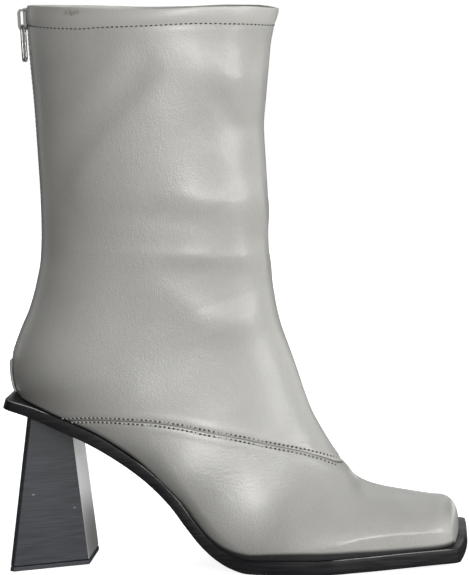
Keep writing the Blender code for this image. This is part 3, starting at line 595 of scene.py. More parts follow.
@lru_cache(maxsize=None)
def leather_sheet(fold_share):
    """The upper's outer surface: points, normals, section numbers and what its finish needs to know."""
    cuts, numbers = sheet_sections()
    lateral = side_points(cuts, "lateral", LEATHER_AROUND)
    medial = side_points(cuts, "medial", LEATHER_AROUND)
    points = bridge_throat(place(np.concatenate((lateral, medial[:, -2::-1]), axis=1)))
    normals = grid_normals(points)
    shape = points.shape[:2]
    side_view = points.reshape(-1, 3)[:, [0, 2]]
    x = side_view[:, 0]
    turned = normals.reshape(-1, 3)[:, 1]
    row_numbers = np.repeat(numbers, shape[1])
    steps = np.linalg.norm(np.diff(points, axis=1), axis=-1)
    up = np.concatenate((np.zeros((shape[0], 1)), np.cumsum(steps, axis=1)), axis=1)
    from_edge = np.minimum(up, up[:, -1:] - up).ravel()
    from_ridge = (up - up[:, LEATHER_AROUND:LEATHER_AROUND + 1]).ravel()
    vamp, share = path_distance(side_view, VAMP_SEAM)
    front = np.where((vamp > 0) & (share < 1.0), from_ridge, FAR)
    rim = row_numbers - COLLAR_ROW - along_boot(COLLAR_WAVE, x) / COLLAR_DEPTH
    relief = fold_relief(side_view, turned, fold_share)
    detail = seam_detail(np.minimum(np.abs(vamp), np.abs(front)), rim)
    settled = np.where(row_numbers <= HEEL_ROW, smoothstep(0.0, EDGE_SETTLE, from_edge), 1.0)
    points = points + normals * ((relief + detail) * settled).reshape(shape)[..., None]
    points[..., 2] -= (along_boot(RIM_DIP, x) * smoothstep(*SAG_OVER, rim)).reshape(shape)
    over_sole = np.where(row_numbers <= HEEL_ROW + 1, np.minimum(from_edge, FAR), FAR)
    finish = {
        "vamp_line": np.clip(vamp, -FAR, FAR),
        "front_line": np.clip(front, -FAR, FAR),
        "lower_edge": over_sole - along_boot(EDGE_SHADE, x),
        "flex": bulge(side_view, *FLEX_PLACE) * smoothstep(*FLEX_TURN, np.abs(turned)),
        "fold": relief,
        "collar": smoothstep(*COLLAR_FADE, rim),
        "painted_shade": painted_shade_share(side_view, from_edge),
    }
    return points, grid_normals(points), numbers, finish


def select_only(piece):
    """Makes a piece the only selected object."""
    bpy.ops.object.select_all(action="DESELECT")
    piece.select_set(True)
    bpy.context.view_layer.objects.active = piece


def sheet(name, points):
    """A new piece: a grid whose vertices lie on rows of points, given in millimetres."""
    rows, columns = points.shape[:2]
    bpy.ops.object.select_all(action="DESELECT")
    bpy.ops.mesh.primitive_grid_add(x_subdivisions=columns - 1, y_subdivisions=rows - 1, size=1)
    piece = bpy.context.active_object
    piece.name = name
    piece.data.name = name
    if len(piece.data.vertices) != rows * columns:
        raise RuntimeError(f"{name}: the grid has {len(piece.data.vertices)} points")
    piece.data.vertices.foreach_set("co", (points * MM).astype(np.float32).ravel())
    piece.data.update()
    return piece


def edit_whole(piece, *steps):
    """Runs Edit Mode steps, each an operator and its settings, on all of a piece."""
    select_only(piece)
    bpy.ops.object.mode_set(mode="EDIT")
    for operator, settings in steps:
        bpy.ops.mesh.select_all(action="SELECT")
        operator(**settings)
    bpy.ops.object.mode_set(mode="OBJECT")


def rolled(name, rings, **values):
    """A new closed piece through rings of points, its ends filled; values are kept on its vertices."""
    piece = sheet(name, np.concatenate((rings, rings[:, :1]), axis=1))
    closed = {key: np.concatenate((part, part[:, :1]), axis=1).ravel() for key, part in values.items()}
    keep_values(piece, closed)
    edit_whole(piece, (bpy.ops.mesh.remove_doubles, {"threshold": MERGE_DISTANCE}),
               (bpy.ops.mesh.fill_holes, {"sides": 0}),
               (bpy.ops.mesh.normals_make_consistent, {"inside": False}))
    return piece


def merged(shapes):
    """Verts and faces of many small shapes as one."""
    all_verts = []
    all_faces = []
    count = 0
    for verts, faces in shapes:
        all_verts.append(verts)
        all_faces += [tuple(count + k for k in face) for face in faces]
        count += len(verts)
    return np.concatenate(all_verts), all_faces


def joined(name, shapes):
    """A new piece from many small shapes of one kind."""
    verts, faces = merged(shapes)
    mesh = bpy.data.meshes.new(name)
    mesh.from_pydata((verts * MM).tolist(), [], faces)
    mesh.validate()
    piece = bpy.data.objects.new(name, mesh)
    bpy.context.scene.collection.objects.link(piece)
    return piece


def node_copy(node, name):
    """A copy of a CAD node with its loose triangles merged into whole faces."""
    piece = bpy.data.objects.new(name, frame["nodes"][node].data.copy())
    piece.data.name = name
    piece.data.materials.clear()
    bpy.context.scene.collection.objects.link(piece)
    edit_whole(piece, (bpy.ops.mesh.remove_doubles, {"threshold": MERGE_DISTANCE}),
               (bpy.ops.mesh.dissolve_limited, {"angle_limit": math.radians(1.0)}))
    return piece


def modify(piece, kind, **settings):
    """Adds a modifier to a piece and applies it."""
    select_only(piece)
    bpy.ops.object.modifier_add(type=kind)
    modifier = piece.modifiers[-1]
    for name, value in settings.items():
        setattr(modifier, name, value)
    bpy.ops.object.modifier_apply(modifier=modifier.name)


def soften(piece, width, angle):
    """Rounds the edges that turn by more than an angle."""
    modify(piece, "BEVEL", width=width * MM, segments=3, limit_method="ANGLE",
           angle_limit=math.radians(angle), use_clamp_overlap=True)


def thicken(piece, thick, offset, rounding):
    """Gives a sheet its thickness and rounds its cut edges."""
    modify(piece, "SOLIDIFY", thickness=thick * MM, offset=offset, use_even_offset=True, use_rim=True)
    if rounding:
        soften(piece, rounding, 60)


def keep_values(piece, values):
    """Stores named numbers on a piece's vertices for its finish."""
    for name, numbers in values.items():
        attribute = piece.data.attributes.new(name, "FLOAT", "POINT")
        attribute.data.foreach_set("value", np.asarray(numbers, np.float32))


def dress(piece, material, body, slot, *nodes, smooth=None, flat_faces=False):
    """Shades a piece, gives it its material, hangs it on the body it rides on and hides the CAD nodes it
    replaces; slot is not used.
    """
    select_only(piece)
    if smooth is None:
        bpy.ops.object.shade_smooth()
    else:
        bpy.ops.object.shade_smooth_by_angle(angle=math.radians(smooth))
    if flat_faces:
        modify(piece, "WEIGHTED_NORMAL", keep_sharp=True)
    piece.data.materials.clear()
    piece.data.materials.append(material)
    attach(piece, body)
    if nodes:
        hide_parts(*nodes)


class Finish:
    """A material's node tree, with short ways to add to it."""

    def __init__(self, name, colour, roughness, **sockets):
        self.material = bpy.data.materials.new(name)
        self.material.use_nodes = True
        self.tree = self.material.node_tree
        self.shader = self.tree.nodes["Principled BSDF"]
        self.set("Base Color", (*colour, 1.0))
        self.set("Roughness", roughness)
        for socket, value in sockets.items():
            self.set(socket.replace("_", " ").title().replace("Ior", "IOR"), value)
        self.place = self.add("ShaderNodeTexCoord").outputs["Object"]
        self.bump = None

    def set(self, socket, value):
        """Sets one of the shader's own sockets."""
        self.shader.inputs[socket].default_value = value

    def add(self, kind, inputs=None, **settings):
        """Adds a node: settings are its properties, inputs its values or links."""
        node = self.tree.nodes.new(kind)
        for name, value in settings.items():
            setattr(node, name, value)
        for name, value in (inputs or {}).items():
            if isinstance(value, bpy.types.NodeSocket):
                self.tree.links.new(value, node.inputs[name])
            else:
                node.inputs[name].default_value = value
        return node

    def use(self, socket, output):
        """Links an output to one of the shader's sockets."""
        self.tree.links.new(output, self.shader.inputs[socket])

    def stretched(self, scale, turn=(0.0, 0.0, 0.0)):
        """The piece's own coordinates, scaled and turned."""
        inputs = {"Vector": self.place, "Scale": scale, "Rotation": turn}
        return self.add("ShaderNodeMapping", inputs).outputs[0]

    def noise(self, scale, detail=3.0, vector=None, roughness=0.5):
        """Soft random values from 0 to 1."""
        inputs = {"Vector": vector or self.place, "Scale": scale, "Detail": detail, "Roughness": roughness}
        return self.add("ShaderNodeTexNoise", inputs).outputs["Fac"]

    def cells(self, scale, feature="F1", vector=None):
        """Distances in a pattern of irregular cells."""
        inputs = {"Vector": vector or self.place, "Scale": scale}
        return self.add("ShaderNodeTexVoronoi", inputs, feature=feature).outputs["Distance"]

    def span(self, value, low, high, to_low=0.0, to_high=1.0, soft=True):
        """Moves a range of values to another one."""
        inputs = {"Value": value, "From Min": low, "From Max": high, "To Min": to_low, "To Max": to_high}
        kind = "SMOOTHSTEP" if soft else "LINEAR"
        return self.add("ShaderNodeMapRange", inputs, interpolation_type=kind).outputs["Result"]

    def math(self, kind, first, second=0.0):
        """One sum of two values."""
        return self.add("ShaderNodeMath", {0: first, 1: second}, operation=kind).outputs[0]

    def vector(self, kind, first, second=(0.0, 0.0, 0.0)):
        """A node that reckons with two vectors."""
        return self.add("ShaderNodeVectorMath", {0: first, 1: second}, operation=kind)

    def value(self, name):
        """A number stored on the piece's vertices."""
        return self.add("ShaderNodeAttribute", attribute_name=name).outputs["Fac"]

    def mix(self, share, first, second):
        """A colour between two colours."""
        node = self.add("ShaderNodeMix", data_type="RGBA")
        for socket, value in ((node.inputs[0], share), (node.inputs[6], first), (node.inputs[7], second)):
            if isinstance(value, bpy.types.NodeSocket):
                self.tree.links.new(value, socket)
            else:
                socket.default_value = value if isinstance(value, float) else (*value, 1.0)
        return node.outputs[2]

    def mark(self, place, size, share):
        """A small ragged mark at a place on the piece: share in its middle, 0 away from it."""
        offset = self.vector("SUBTRACT", self.place, Vector(place) * MM).outputs[0]
        scaled = self.vector("MULTIPLY", offset, [1.0 / (reach * MM) for reach in size]).outputs[0]
        away = self.vector("LENGTH", scaled).outputs["Value"]
        away = self.math("ADD", away, self.span(self.noise(900.0), 0.2, 0.8, -0.5, 0.5))
        return self.span(away, 0.3, 1.0, share, 0.0)

    def raise_by(self, height, distance, strength=1.0):
        """Adds a bump of that real depth, in millimetres, on top of those before it."""
        inputs = {"Height": height, "Distance": distance * MM, "Strength": strength}
        if self.bump is not None:
            inputs["Normal"] = self.bump
        self.bump = self.add("ShaderNodeBump", inputs).outputs["Normal"]
        self.use("Normal", self.bump)


def shade(colour, share):
    """A colour made lighter or darker."""
    return tuple(min(1.0, channel * share) for channel in colour)


def upper_finish(look):
    """Smooth satin leather: fine grain, soft mottling, flex wrinkles, dark seams and painted shadow on its
    lower edge.
    """
    colour = tuple(look.leather_colour)
    finish = Finish("satin_leather", colour, look.leather_roughness, specular_ior_level=0.5,
                    coat_weight=0.3, coat_roughness=0.26)
    mottle = finish.span(finish.noise(24.0, 4.0), 0.3, 0.7)
    fleck = finish.noise(1.0, 4.0, finish.stretched((900.0, 900.0, 420.0)), 0.7)
    mottle = finish.math("ADD", mottle, finish.span(fleck, 0.3, 0.7, -0.3, 0.3))
    tone = finish.mix(mottle, shade(colour, 0.94), shade(colour, 1.05))
    # painted shade: the leather is darkened where the folds sink into troughs
    fold = finish.span(finish.value("fold"), -1.6, 1.6, 0.0, 1.0)
    tone = finish.mix(finish.math("MULTIPLY", finish.span(fold, 0.5, 0.0), 0.35), tone, shade(colour, 0.72))
    # painted light: the collar band above its stitches is painted lighter, as if it faced up into the light
    tone = finish.mix(finish.value("collar"), tone, shade(colour, 1.14))
    tone = finish.mix(finish.mark(*COLLAR_MARK, 0.55), tone, (0.18, 0.16, 0.1))
    # painted shade over the heel seat and the arch, where the leather turns away from the light
    tone = finish.mix(finish.math("MULTIPLY", finish.value("painted_shade"), 0.9), tone, shade(colour, 0.5))
    # painted shadow: the leather is painted near black just over the sole, where the gap between upper and
    # sole lies in shade
    low = finish.span(finish.value("lower_edge"), 0.0, 2.6, 0.96, 0.0)
    tone = finish.mix(low, tone, (0.012, 0.012, 0.014))
    vamp = finish.math("ABSOLUTE", finish.value("vamp_line"))
    front = finish.math("ABSOLUTE", finish.value("front_line"))
    tone = finish.mix(finish.span(vamp, 0.06, 0.34, 0.85, 0.0), tone, shade(colour, 0.1))
    tone = finish.mix(finish.span(front, 0.08, 0.35, 0.5, 0.0), tone, shade(colour, 0.3))
    finish.use("Base Color", tone)
    gloss = finish.span(finish.noise(60.0, 3.0), 0.25, 0.75, look.leather_roughness - 0.05,
                        look.leather_roughness + 0.07)
    finish.use("Roughness", gloss)
    grain = finish.cells(1500.0, "SMOOTH_F1")
    pores = finish.noise(2600.0, 2.0)
    finish.raise_by(finish.math("ADD", grain, finish.math("MULTIPLY", pores, 0.6)), 0.1, 0.8)
    pebbles = finish.noise(1.0, 3.0, finish.stretched((620.0, 620.0, 340.0)), 0.6)
    finish.raise_by(pebbles, 0.14, 0.6)
    wrinkle = finish.noise(1.0, 3.0, finish.stretched((240.0, 300.0, 640.0), (0.0, math.radians(-18.0), 0.0)))
    finish.raise_by(finish.math("MULTIPLY", wrinkle, finish.value("flex")), 0.45, 0.8)
    finish.raise_by(finish.noise(150.0, 2.0), 0.12, 0.4)
    finish.raise_by(finish.span(vamp, 0.0, 0.7, -1.0, 0.0), 0.3, 0.8)
    return finish.material


def lining_finish(look):
    """Pale smooth lining leather with a fine pigskin-like pore."""
    colour = tuple(look.lining_colour)
    finish = Finish("lining_leather", colour, 0.62)
    finish.use("Base Color", finish.mix(finish.noise(40.0, 4.0), shade(colour, 0.9), shade(colour, 1.06)))
    finish.raise_by(finish.cells(900.0, "SMOOTH_F1"), 0.05, 0.4)
    return finish.material


def thread_finish(look):
    """Matt sewing thread with its twist."""
    colour = tuple(look.thread_colour)
    finish = Finish("sewing_thread", colour, 0.75)
    tone = finish.mix(finish.noise(900.0, 2.0), shade(colour, 0.8), shade(colour, 1.12))
    # painted shade: threads marked dark are painted near black, standing for the shaded stitch holes between
    # them
    finish.use("Base Color", finish.mix(finish.value("dark"), tone, shade(colour, 0.12)))
    finish.raise_by(finish.noise(3200.0, 1.0), 0.06, 0.6)
    return finish.material


def hole_finish(look):
    """Painted shade in the needle holes: small dark discs."""
    colour = shade(tuple(look.leather_colour), 0.1)
    finish = Finish("needle_hole", colour, 0.9)
    finish.use("Base Color", finish.mix(finish.noise(700.0), shade(colour, 0.7), shade(colour, 1.6)))
    return finish.material


def sole_finish(look):
    """Near-black satin edge paint with fine drawn streaks and a painted highlight along its top edge."""
    colour = tuple(look.sole_colour)
    finish = Finish("edge_paint", colour, 0.4, specular_ior_level=0.38)
    streak = finish.noise(1.0, 4.0, finish.stretched((38.0, 38.0, 900.0)))
    tone = finish.mix(finish.span(streak, 0.35, 0.75), shade(colour, 0.75), shade(colour, 1.7))
    edge = finish.span(finish.value("top_edge"), 0.35, 0.95)
    # painted highlight: a pale line along the top edge, broken up by noise
    wear_and_sheen = finish.math("MULTIPLY", edge, finish.span(finish.noise(90.0, 4.0), 0.3, 0.6, 0.35, 1.0))
    finish.use("Base Color", finish.mix(wear_and_sheen, tone, (0.34, 0.34, 0.33)))
    finish.use("Roughness", finish.span(finish.noise(1.0, 3.0, finish.stretched((60.0, 60.0, 700.0))),
                                        0.3, 0.7, 0.3, 0.5))
    finish.raise_by(streak, 0.03, 0.5)
    return finish.material


def heel_finish(look):
    """Charcoal stacked heel: fine level streaks, satin, painted light on its breast, painted shade under the
    sole, two pale chips.
    """
    colour = tuple(look.heel_colour)
    finish = Finish("stacked_heel", colour, 0.45, specular_ior_level=0.5)
    streak = finish.noise(1.0, 5.0, finish.stretched((55.0, 55.0, 1900.0)), 0.6)
    layers = finish.noise(1.0, 2.0, finish.stretched((8.0, 8.0, 150.0)))
    tone = finish.mix(finish.span(streak, 0.3, 0.75), shade(colour, 0.6), shade(colour, 1.36))
    tone = finish.mix(finish.span(layers, 0.35, 0.7, 0.0, 0.3), tone, shade(colour, 0.65))
    height = finish.add("ShaderNodeSeparateXYZ", {0: finish.place}).outputs["Z"]
    # painted shadow: the heel darkens under the sole's overhang
    tone = finish.mix(finish.span(height, *HEEL_TOP_SHADE, 0.0, 0.6), tone, shade(colour, 0.45))
    # painted light: the forward-facing breast is painted pale, palest at the top, as if lit and reflecting a
    # white room
    painted_light = finish.mix(finish.span(height, *BREAST_FADE), (0.4, 0.4, 0.4), (0.9, 0.9, 0.89))
    lit_breast = finish.mix(finish.span(streak, 0.25, 0.75, 0.16, 0.0), painted_light, (0.1, 0.1, 0.1))
    tone = finish.mix(finish.value("breast"), tone, lit_breast)
    for chip in HEEL_CHIPS:
        tone = finish.mix(finish.mark(*chip, 0.6), tone, (0.36, 0.36, 0.37))
    finish.use("Base Color", tone)
    finish.use("Roughness", finish.span(streak, 0.3, 0.8, 0.36, 0.56))
    finish.raise_by(streak, 0.05, 0.6)
    return finish.material


def lift_finish(look):
    """Matt dark rubber with a fine moulded grain."""
    colour = tuple(look.lift_colour)
    finish = Finish("lift_rubber", colour, 0.62)
    finish.use("Base Color", finish.mix(finish.noise(300.0, 3.0), shade(colour, 0.75), shade(colour, 1.35)))
    finish.raise_by(finish.noise(1800.0, 2.0), 0.04, 0.5)
    return finish.material


def tape_finish(look):
    """Grey woven zip tape: a twill of fine ribs."""
    colour = tuple(look.tape_colour)
    finish = Finish("woven_tape", colour, 0.85)
    inputs = {"Vector": finish.stretched((1.0, 1.0, 1.0), (math.radians(38.0), 0.0, 0.0)), "Scale": 620.0,
              "Distortion": 0.6}
    ribs = finish.add("ShaderNodeTexWave", inputs, bands_direction="Z").outputs["Fac"]
    finish.use("Base Color", finish.mix(ribs, shade(colour, 0.6), shade(colour, 1.2)))
    finish.raise_by(ribs, 0.12, 0.7)
    return finish.material


def metal_finish(look):
    """Dark silver zip metal with light handling wear."""
    colour = tuple(look.metal_colour)
    finish = Finish("zip_metal", colour, 0.3, metallic=1.0)
    wear_and_sheen = finish.noise(420.0, 4.0)
    finish.use("Base Color", finish.mix(finish.span(wear_and_sheen, 0.35, 0.7), shade(colour, 0.7), shade(colour, 1.3)))
    finish.use("Roughness", finish.span(wear_and_sheen, 0.3, 0.7, 0.22, 0.42))
    finish.raise_by(finish.noise(1500.0, 2.0), 0.02, 0.4)
    return finish.material


def make_upper(look):
    """The leather wall of vamp, quarters and shaft."""
    points, _normals, _numbers, finish = leather_sheet(look.fold_share)
    upper = sheet("upper_leather", points)
    keep_values(upper, finish)
    thicken(upper, WALL, -1.0, EDGE_ROUND)
    dress(upper, upper_finish(look), "boot", "upper_leather", "upper")


def make_lining(look):
    """The lining inside the wall, below the collar's stitches, and the sock on the sole."""
    points, normals, numbers, _finish = leather_sheet(look.fold_share)
    inner = points - normals * (WALL + LINING_GAP)
    below_collar = numbers < COLLAR_ROW - LINING_BELOW
    rows = inner[below_collar][TOE_CAP_STEPS::LINING_STEP, LINING_MARGIN:-LINING_MARGIN:LINING_STEP]
    lining = sheet("shaft_lining", rows)
    thicken(lining, LINING_THICK, -1.0, 0.0)
    dress(lining, lining_finish(look), "boot", "sock_lining")
    sock = node_copy("insole", "sock")
    soften(sock, SOCK_BEVEL, 50)
    dress(sock, lining_finish(look), "boot", "sock_lining", "insole", smooth=40)


def surface_path(upper, starts, direction):
    """Points and normals where rays in one direction first meet the upper, in millimetres."""
    points = []
    normals = []
    for start in starts:
        hit, place_at, normal, _face = upper.ray_cast(Vector(start) * MM, Vector(direction))
        if hit:
            points.append(np.array(place_at) / MM)
            normals.append(np.array(normal))
    return np.array(points), np.array(normals)


def vamp_rows():
    """Side-view lines of the two stitch rows along the vamp seam."""
    behind, ahead = VAMP_ROW_ENDS
    line = smooth_line(VAMP_SEAM, lambda length: np.arange(behind, length - ahead, PATH_STEP))
    along = unit(np.gradient(line, axis=0))
    left = np.stack([-along[:, 1], along[:, 0]], axis=-1)
    return [line + left * aside for aside in (STITCH_ASIDE, -STITCH_ASIDE)]


def stitch_paths(look, upper):
    """Every stitch row: points and normals on the leather, pitch, thread radius and darkness."""
    points, normals, numbers, _finish = leather_sheet(look.fold_share)
    row = int(np.argmin(np.abs(numbers - COLLAR_ROW)))
    at = COLLAR_ROW + along_boot(COLLAR_WAVE, points[row, :, 0]) / COLLAR_DEPTH
    columns = np.arange(points.shape[1])
    above = np.searchsorted(numbers[TOE_CAP_STEPS:], at) + TOE_CAP_STEPS
    share = ((at - numbers[above - 1]) / (numbers[above] - numbers[above - 1]))[:, None]
    line = points[above - 1, columns] * (1 - share) + points[above, columns] * share
    # the collar's threads are painted dark as the shade in their stitch holes
    paths = [(line, normals[above, columns], look.collar_pitch, look.thread_radius, 1.0)]
    for line in vamp_rows():
        for side in (-1, 1):
            starts = [(x, side * RAY_START, z) for x, z in line]
            found = surface_path(upper, starts, (0, -side, 0))
            paths.append((*found, look.vamp_pitch, look.thread_radius, 0.0))
    for side in (-1, 1):
        aside = side * (SLIT_HALF + ZIP_STITCH_ASIDE)
        starts = [(-RAY_START, aside, z) for z in np.arange(*ZIP_STITCHES, PATH_STEP)]
        found = surface_path(upper, starts, (1, 0, 0))
        paths.append((*found, look.collar_pitch, FLAT_THREAD, 0.0))
    return paths


def stitch_frames(points, normals, pitch):
    """Middle, direction and normal of each stitch along a row."""
    length = run_length(points)
    count = int(length[-1] / pitch)
    centres = (np.arange(count) + 0.5) * length[-1] / count

    def values_at(places, values):
        return np.stack([np.interp(places, length, values[:, k]) for k in range(3)], axis=-1)

    along = unit(values_at(centres + TANGENT_STEP, points) - values_at(centres - TANGENT_STEP, points))
    normal = values_at(centres, normals)
    normal = unit(normal - along * np.sum(normal * along, axis=1, keepdims=True))
    return values_at(centres, points), along, normal


def ring_faces(first, sides):
    """Faces between two rings of a tube whose corners follow each other."""
    return [(first + k, first + sides + k, first + sides + (k + 1) % sides, first + (k + 1) % sides)
            for k in range(sides)]


def thread_shape(length, radius):
    """Verts and faces of one stitch along x, its ends bent down into the leather."""
    turns = 2 * np.pi * np.arange(THREAD_SIDES) / THREAD_SIDES
    verts = []
    for share, size, drop in THREAD_RINGS:
        for turn in turns:
            verts.append((share * length, size * radius * math.cos(turn),
                          radius * (drop + size * math.sin(turn))))
    last = (len(THREAD_RINGS) - 1) * THREAD_SIDES
    faces = [face for first in range(0, last, THREAD_SIDES) for face in ring_faces(first, THREAD_SIDES)]
    faces.append(tuple(range(THREAD_SIDES)))
    faces.append(tuple(reversed(range(last, last + THREAD_SIDES))))
    return np.array(verts), faces


def hole_shape(length, width):
    """Verts and faces of one needle hole: a small dished disc."""
    turns = 2 * np.pi * np.arange(HOLE_SIDES) / HOLE_SIDES
    low, high = HOLE_LIFT
    verts = [(0.0, 0.0, low)]
    verts += [(length * math.cos(turn), width * math.sin(turn), high) for turn in turns]
    return np.array(verts), [(0, 1 + k, 1 + (k + 1) % HOLE_SIDES) for k in range(HOLE_SIDES)]


def spread_copies(shape, frames):
    """Verts and faces of copies of one small shape in many places."""
    verts, faces = shape
    return merged((middle + verts @ np.array([along, np.cross(normal, along), normal]), faces)
                  for middle, along, normal in frames)


def make_stitching(look):
    """Sewing thread and needle holes along collar, vamp seam and zip."""
    upper = bpy.data.objects["upper_leather"]
    bpy.context.view_layer.update()
    thread_rows = []
    hole_rows = []
    dark = []
    for points, normals, pitch, radius, darkness in stitch_paths(look, upper):
        middle, along, normal = stitch_frames(points, normals, pitch)
        row = spread_copies(thread_shape(pitch * THREAD_SHARE, radius), zip(middle, along, normal))
        thread_rows.append(row)
        dark.append(np.full(len(row[0]), darkness))
        if not darkness:
            between = (middle[1:] + middle[:-1]) / 2
            hole_rows.append(spread_copies(hole_shape(*HOLE_SIZE), zip(between, along[1:], normal[1:])))
    threads = joined("stitch_threads", thread_rows)
    keep_values(threads, {"dark": np.concatenate(dark)})
    dress(threads, thread_finish(look), "boot", "upper_leather")
    holes = joined("stitch_holes", hole_rows)
    dress(holes, hole_finish(look), "boot", "upper_leather")


def back_sheet(name, first, last, half, steps, across, lift):
    """A sheet on the boot's back between two section numbers, moved out by lift."""
    cuts = section(np.linspace(first, last, steps + 1))
    points = place(back_points(cuts, np.linspace(half, -half, across + 1)[None, :]))
    return sheet(name, points + grid_normals(points) * lift)


def make_back_strip(look):
    """The leather strip over the heel's back."""
    strip = back_sheet("heel_strip", STRIP_FROM, STRIP_TO, STRIP_HALF, STRIP_STEPS, STRIP_ACROSS, GAP)
    count = len(strip.data.vertices)
    keep_values(strip, {name: np.full(count, FAR) for name in ("vamp_line", "front_line", "lower_edge")})
    keep_values(strip, {name: np.zeros(count) for name in ("flex", "fold", "collar", "painted_shade")})
    thicken(strip, STRIP_THICK, 1.0, STRIP_ROUND)
    dress(strip, bpy.data.materials["satin_leather"], "boot", "upper_leather", "back_strip")


def tooth_shape(side):
    """Verts and faces of one zip tooth: its head past the middle towards a side, its foot on the other."""
    rings = ((0.0, TOOTH_END), (TOOTH_ROUND, 1.0), (TOOTH_THICK - TOOTH_ROUND, 1.0), (TOOTH_THICK, TOOTH_END))
    verts = []
    for x, grow in rings:
        verts += [(x, side * y, half * grow) for y, half in TOOTH_OUTLINE]
        verts += [(x, side * y, -half * grow) for y, half in reversed(TOOTH_OUTLINE)]
    ring = 2 * len(TOOTH_OUTLINE)
    last = (len(rings) - 1) * ring
    faces = [tuple(range(ring)), tuple(reversed(range(last, last + ring)))]
    for first in range(0, last, ring):
        faces += ring_faces(first, ring)
    return np.array(verts), faces


def make_zip(look):
    """Woven tape and two rows of metal teeth that mesh in the opening."""
    tape = back_sheet("zip_tape_weave", ZIP_FROM, TAPE_TO, TAPE_HALF, TAPE_STEPS, TAPE_ACROSS,
                      -(WALL + TAPE_CLEAR))
    thicken(tape, TAPE_THICK, -1.0, 0.0)
    dress(tape, tape_finish(look), "boot", "zip_tape", "zip_tape")
    cuts = section(np.linspace(ZIP_FROM, LAST_ROW, CHAIN_SAMPLES))
    keep = cuts["z"] < UPPER_ROWS[-1].z - CHAIN_TOP_MARGIN
    line = place(np.stack([cuts["x"], 0 * cuts["x"], cuts["z"]], axis=-1))[keep]
    sideways = np.array([0.0, 1.0, 0.0])
    inward = np.cross(sideways, unit(np.gradient(line, axis=0)))
    frames = stitch_frames(line + inward * TOOTH_DEPTH, inward, TOOTH_PITCH / 2)
    shapes = []
    for k, (centre, up, into) in enumerate(zip(*frames)):
        verts, faces = tooth_shape(1 if k % 2 else -1)
        shapes.append((centre + verts @ np.array([into, sideways, up]), faces))
    teeth = joined("zip_teeth", shapes)
    edit_whole(teeth, (bpy.ops.mesh.normals_make_consistent, {"inside": False}))
    dress(teeth, metal_finish(look), "boot", "zip_metal", "zip_chain", smooth=35)


def make_slider(look):
    """Slider with softened edges and the pull, a slim loop of rounded wire."""
    metal = bpy.data.materials["zip_metal"]
    slider = node_copy("zip_slider", "slider_body")
    soften(slider, SLIDER_BEVEL, 30)
    dress(slider, metal, "boot", "zip_metal", "zip_slider", smooth=40, flat_faces=True)
    hinge = Vector(frame["joints"][0]["pos_m"]) / MM
    side = PULL_HALF - PULL_CORNER
    low = PULL_CORNER - PULL_LENGTH
    centres = ((side, -PULL_CORNER, 90), (-side, -PULL_CORNER, 180), (-side, low, 270), (side, low, 360))
    path = []
    for y, z, first in centres:
        for turn in np.linspace(-90, 0, PULL_CORNER_STEPS + 1):
            angle = math.radians(first + turn)
            path.append((y + PULL_CORNER * math.cos(angle), z + PULL_CORNER * math.sin(angle)))
    path = np.array(path)
    along = unit(np.roll(path, -1, axis=0) - np.roll(path, 1, axis=0))
    out = np.stack([along[:, 1], -along[:, 0]], axis=-1)
    rings = []
    for turn in 2 * np.pi * np.arange(PULL_SIDES) / PULL_SIDES:
        reach = PULL_WIRE * math.cos(turn)
        depth = PULL_WIRE * math.sin(turn)
        rings.append(np.stack([np.full(len(path), hinge.x + depth), hinge.y + path[:, 0] + out[:, 0] * reach,
                               hinge.z + path[:, 1] + out[:, 1] * reach], axis=-1))
    rings.append(rings[0])
    pull = rolled("pull_loop", np.array(rings))
    dress(pull, metal, "pull", "zip_metal", "zip_pull")


def corner_trim(distance, radius):
    """How much a rounded corner takes off the half-width at a distance from the end."""
    short = np.clip(radius - distance, 0.0, radius)
    return radius - np.sqrt(radius ** 2 - short ** 2)


def sole_stations():
    """Places along the sole, closer together at its rounded ends."""
    ease = 1 - np.cos(np.pi / 2 * np.linspace(0.0, 1.0, SOLE_CORNER_STEPS))
    count = int((SOLE_FRONT - SOLE_BACK) / SOLE_STATION)
    return np.unique(np.concatenate((
        np.linspace(SOLE_BACK + SEAT_CORNER, SOLE_FRONT - TOE_CORNER, count),
        SOLE_BACK + SEAT_CORNER * ease, SOLE_FRONT - TOE_CORNER * ease,
        SOLE_BACK + SOLE_ROUND * ease[::2], SOLE_FRONT - SOLE_ROUND * ease[::2])).round(3))


def edge_light_share(x):
    """How much painted highlight the sole's top edge gets at places along it."""
    return sum(smoothstep(low, low + EDGE_LIGHT_FADE, x) * (1 - smoothstep(high - EDGE_LIGHT_FADE, high, x))
               for low, high in SOLE_EDGE_LIGHT)


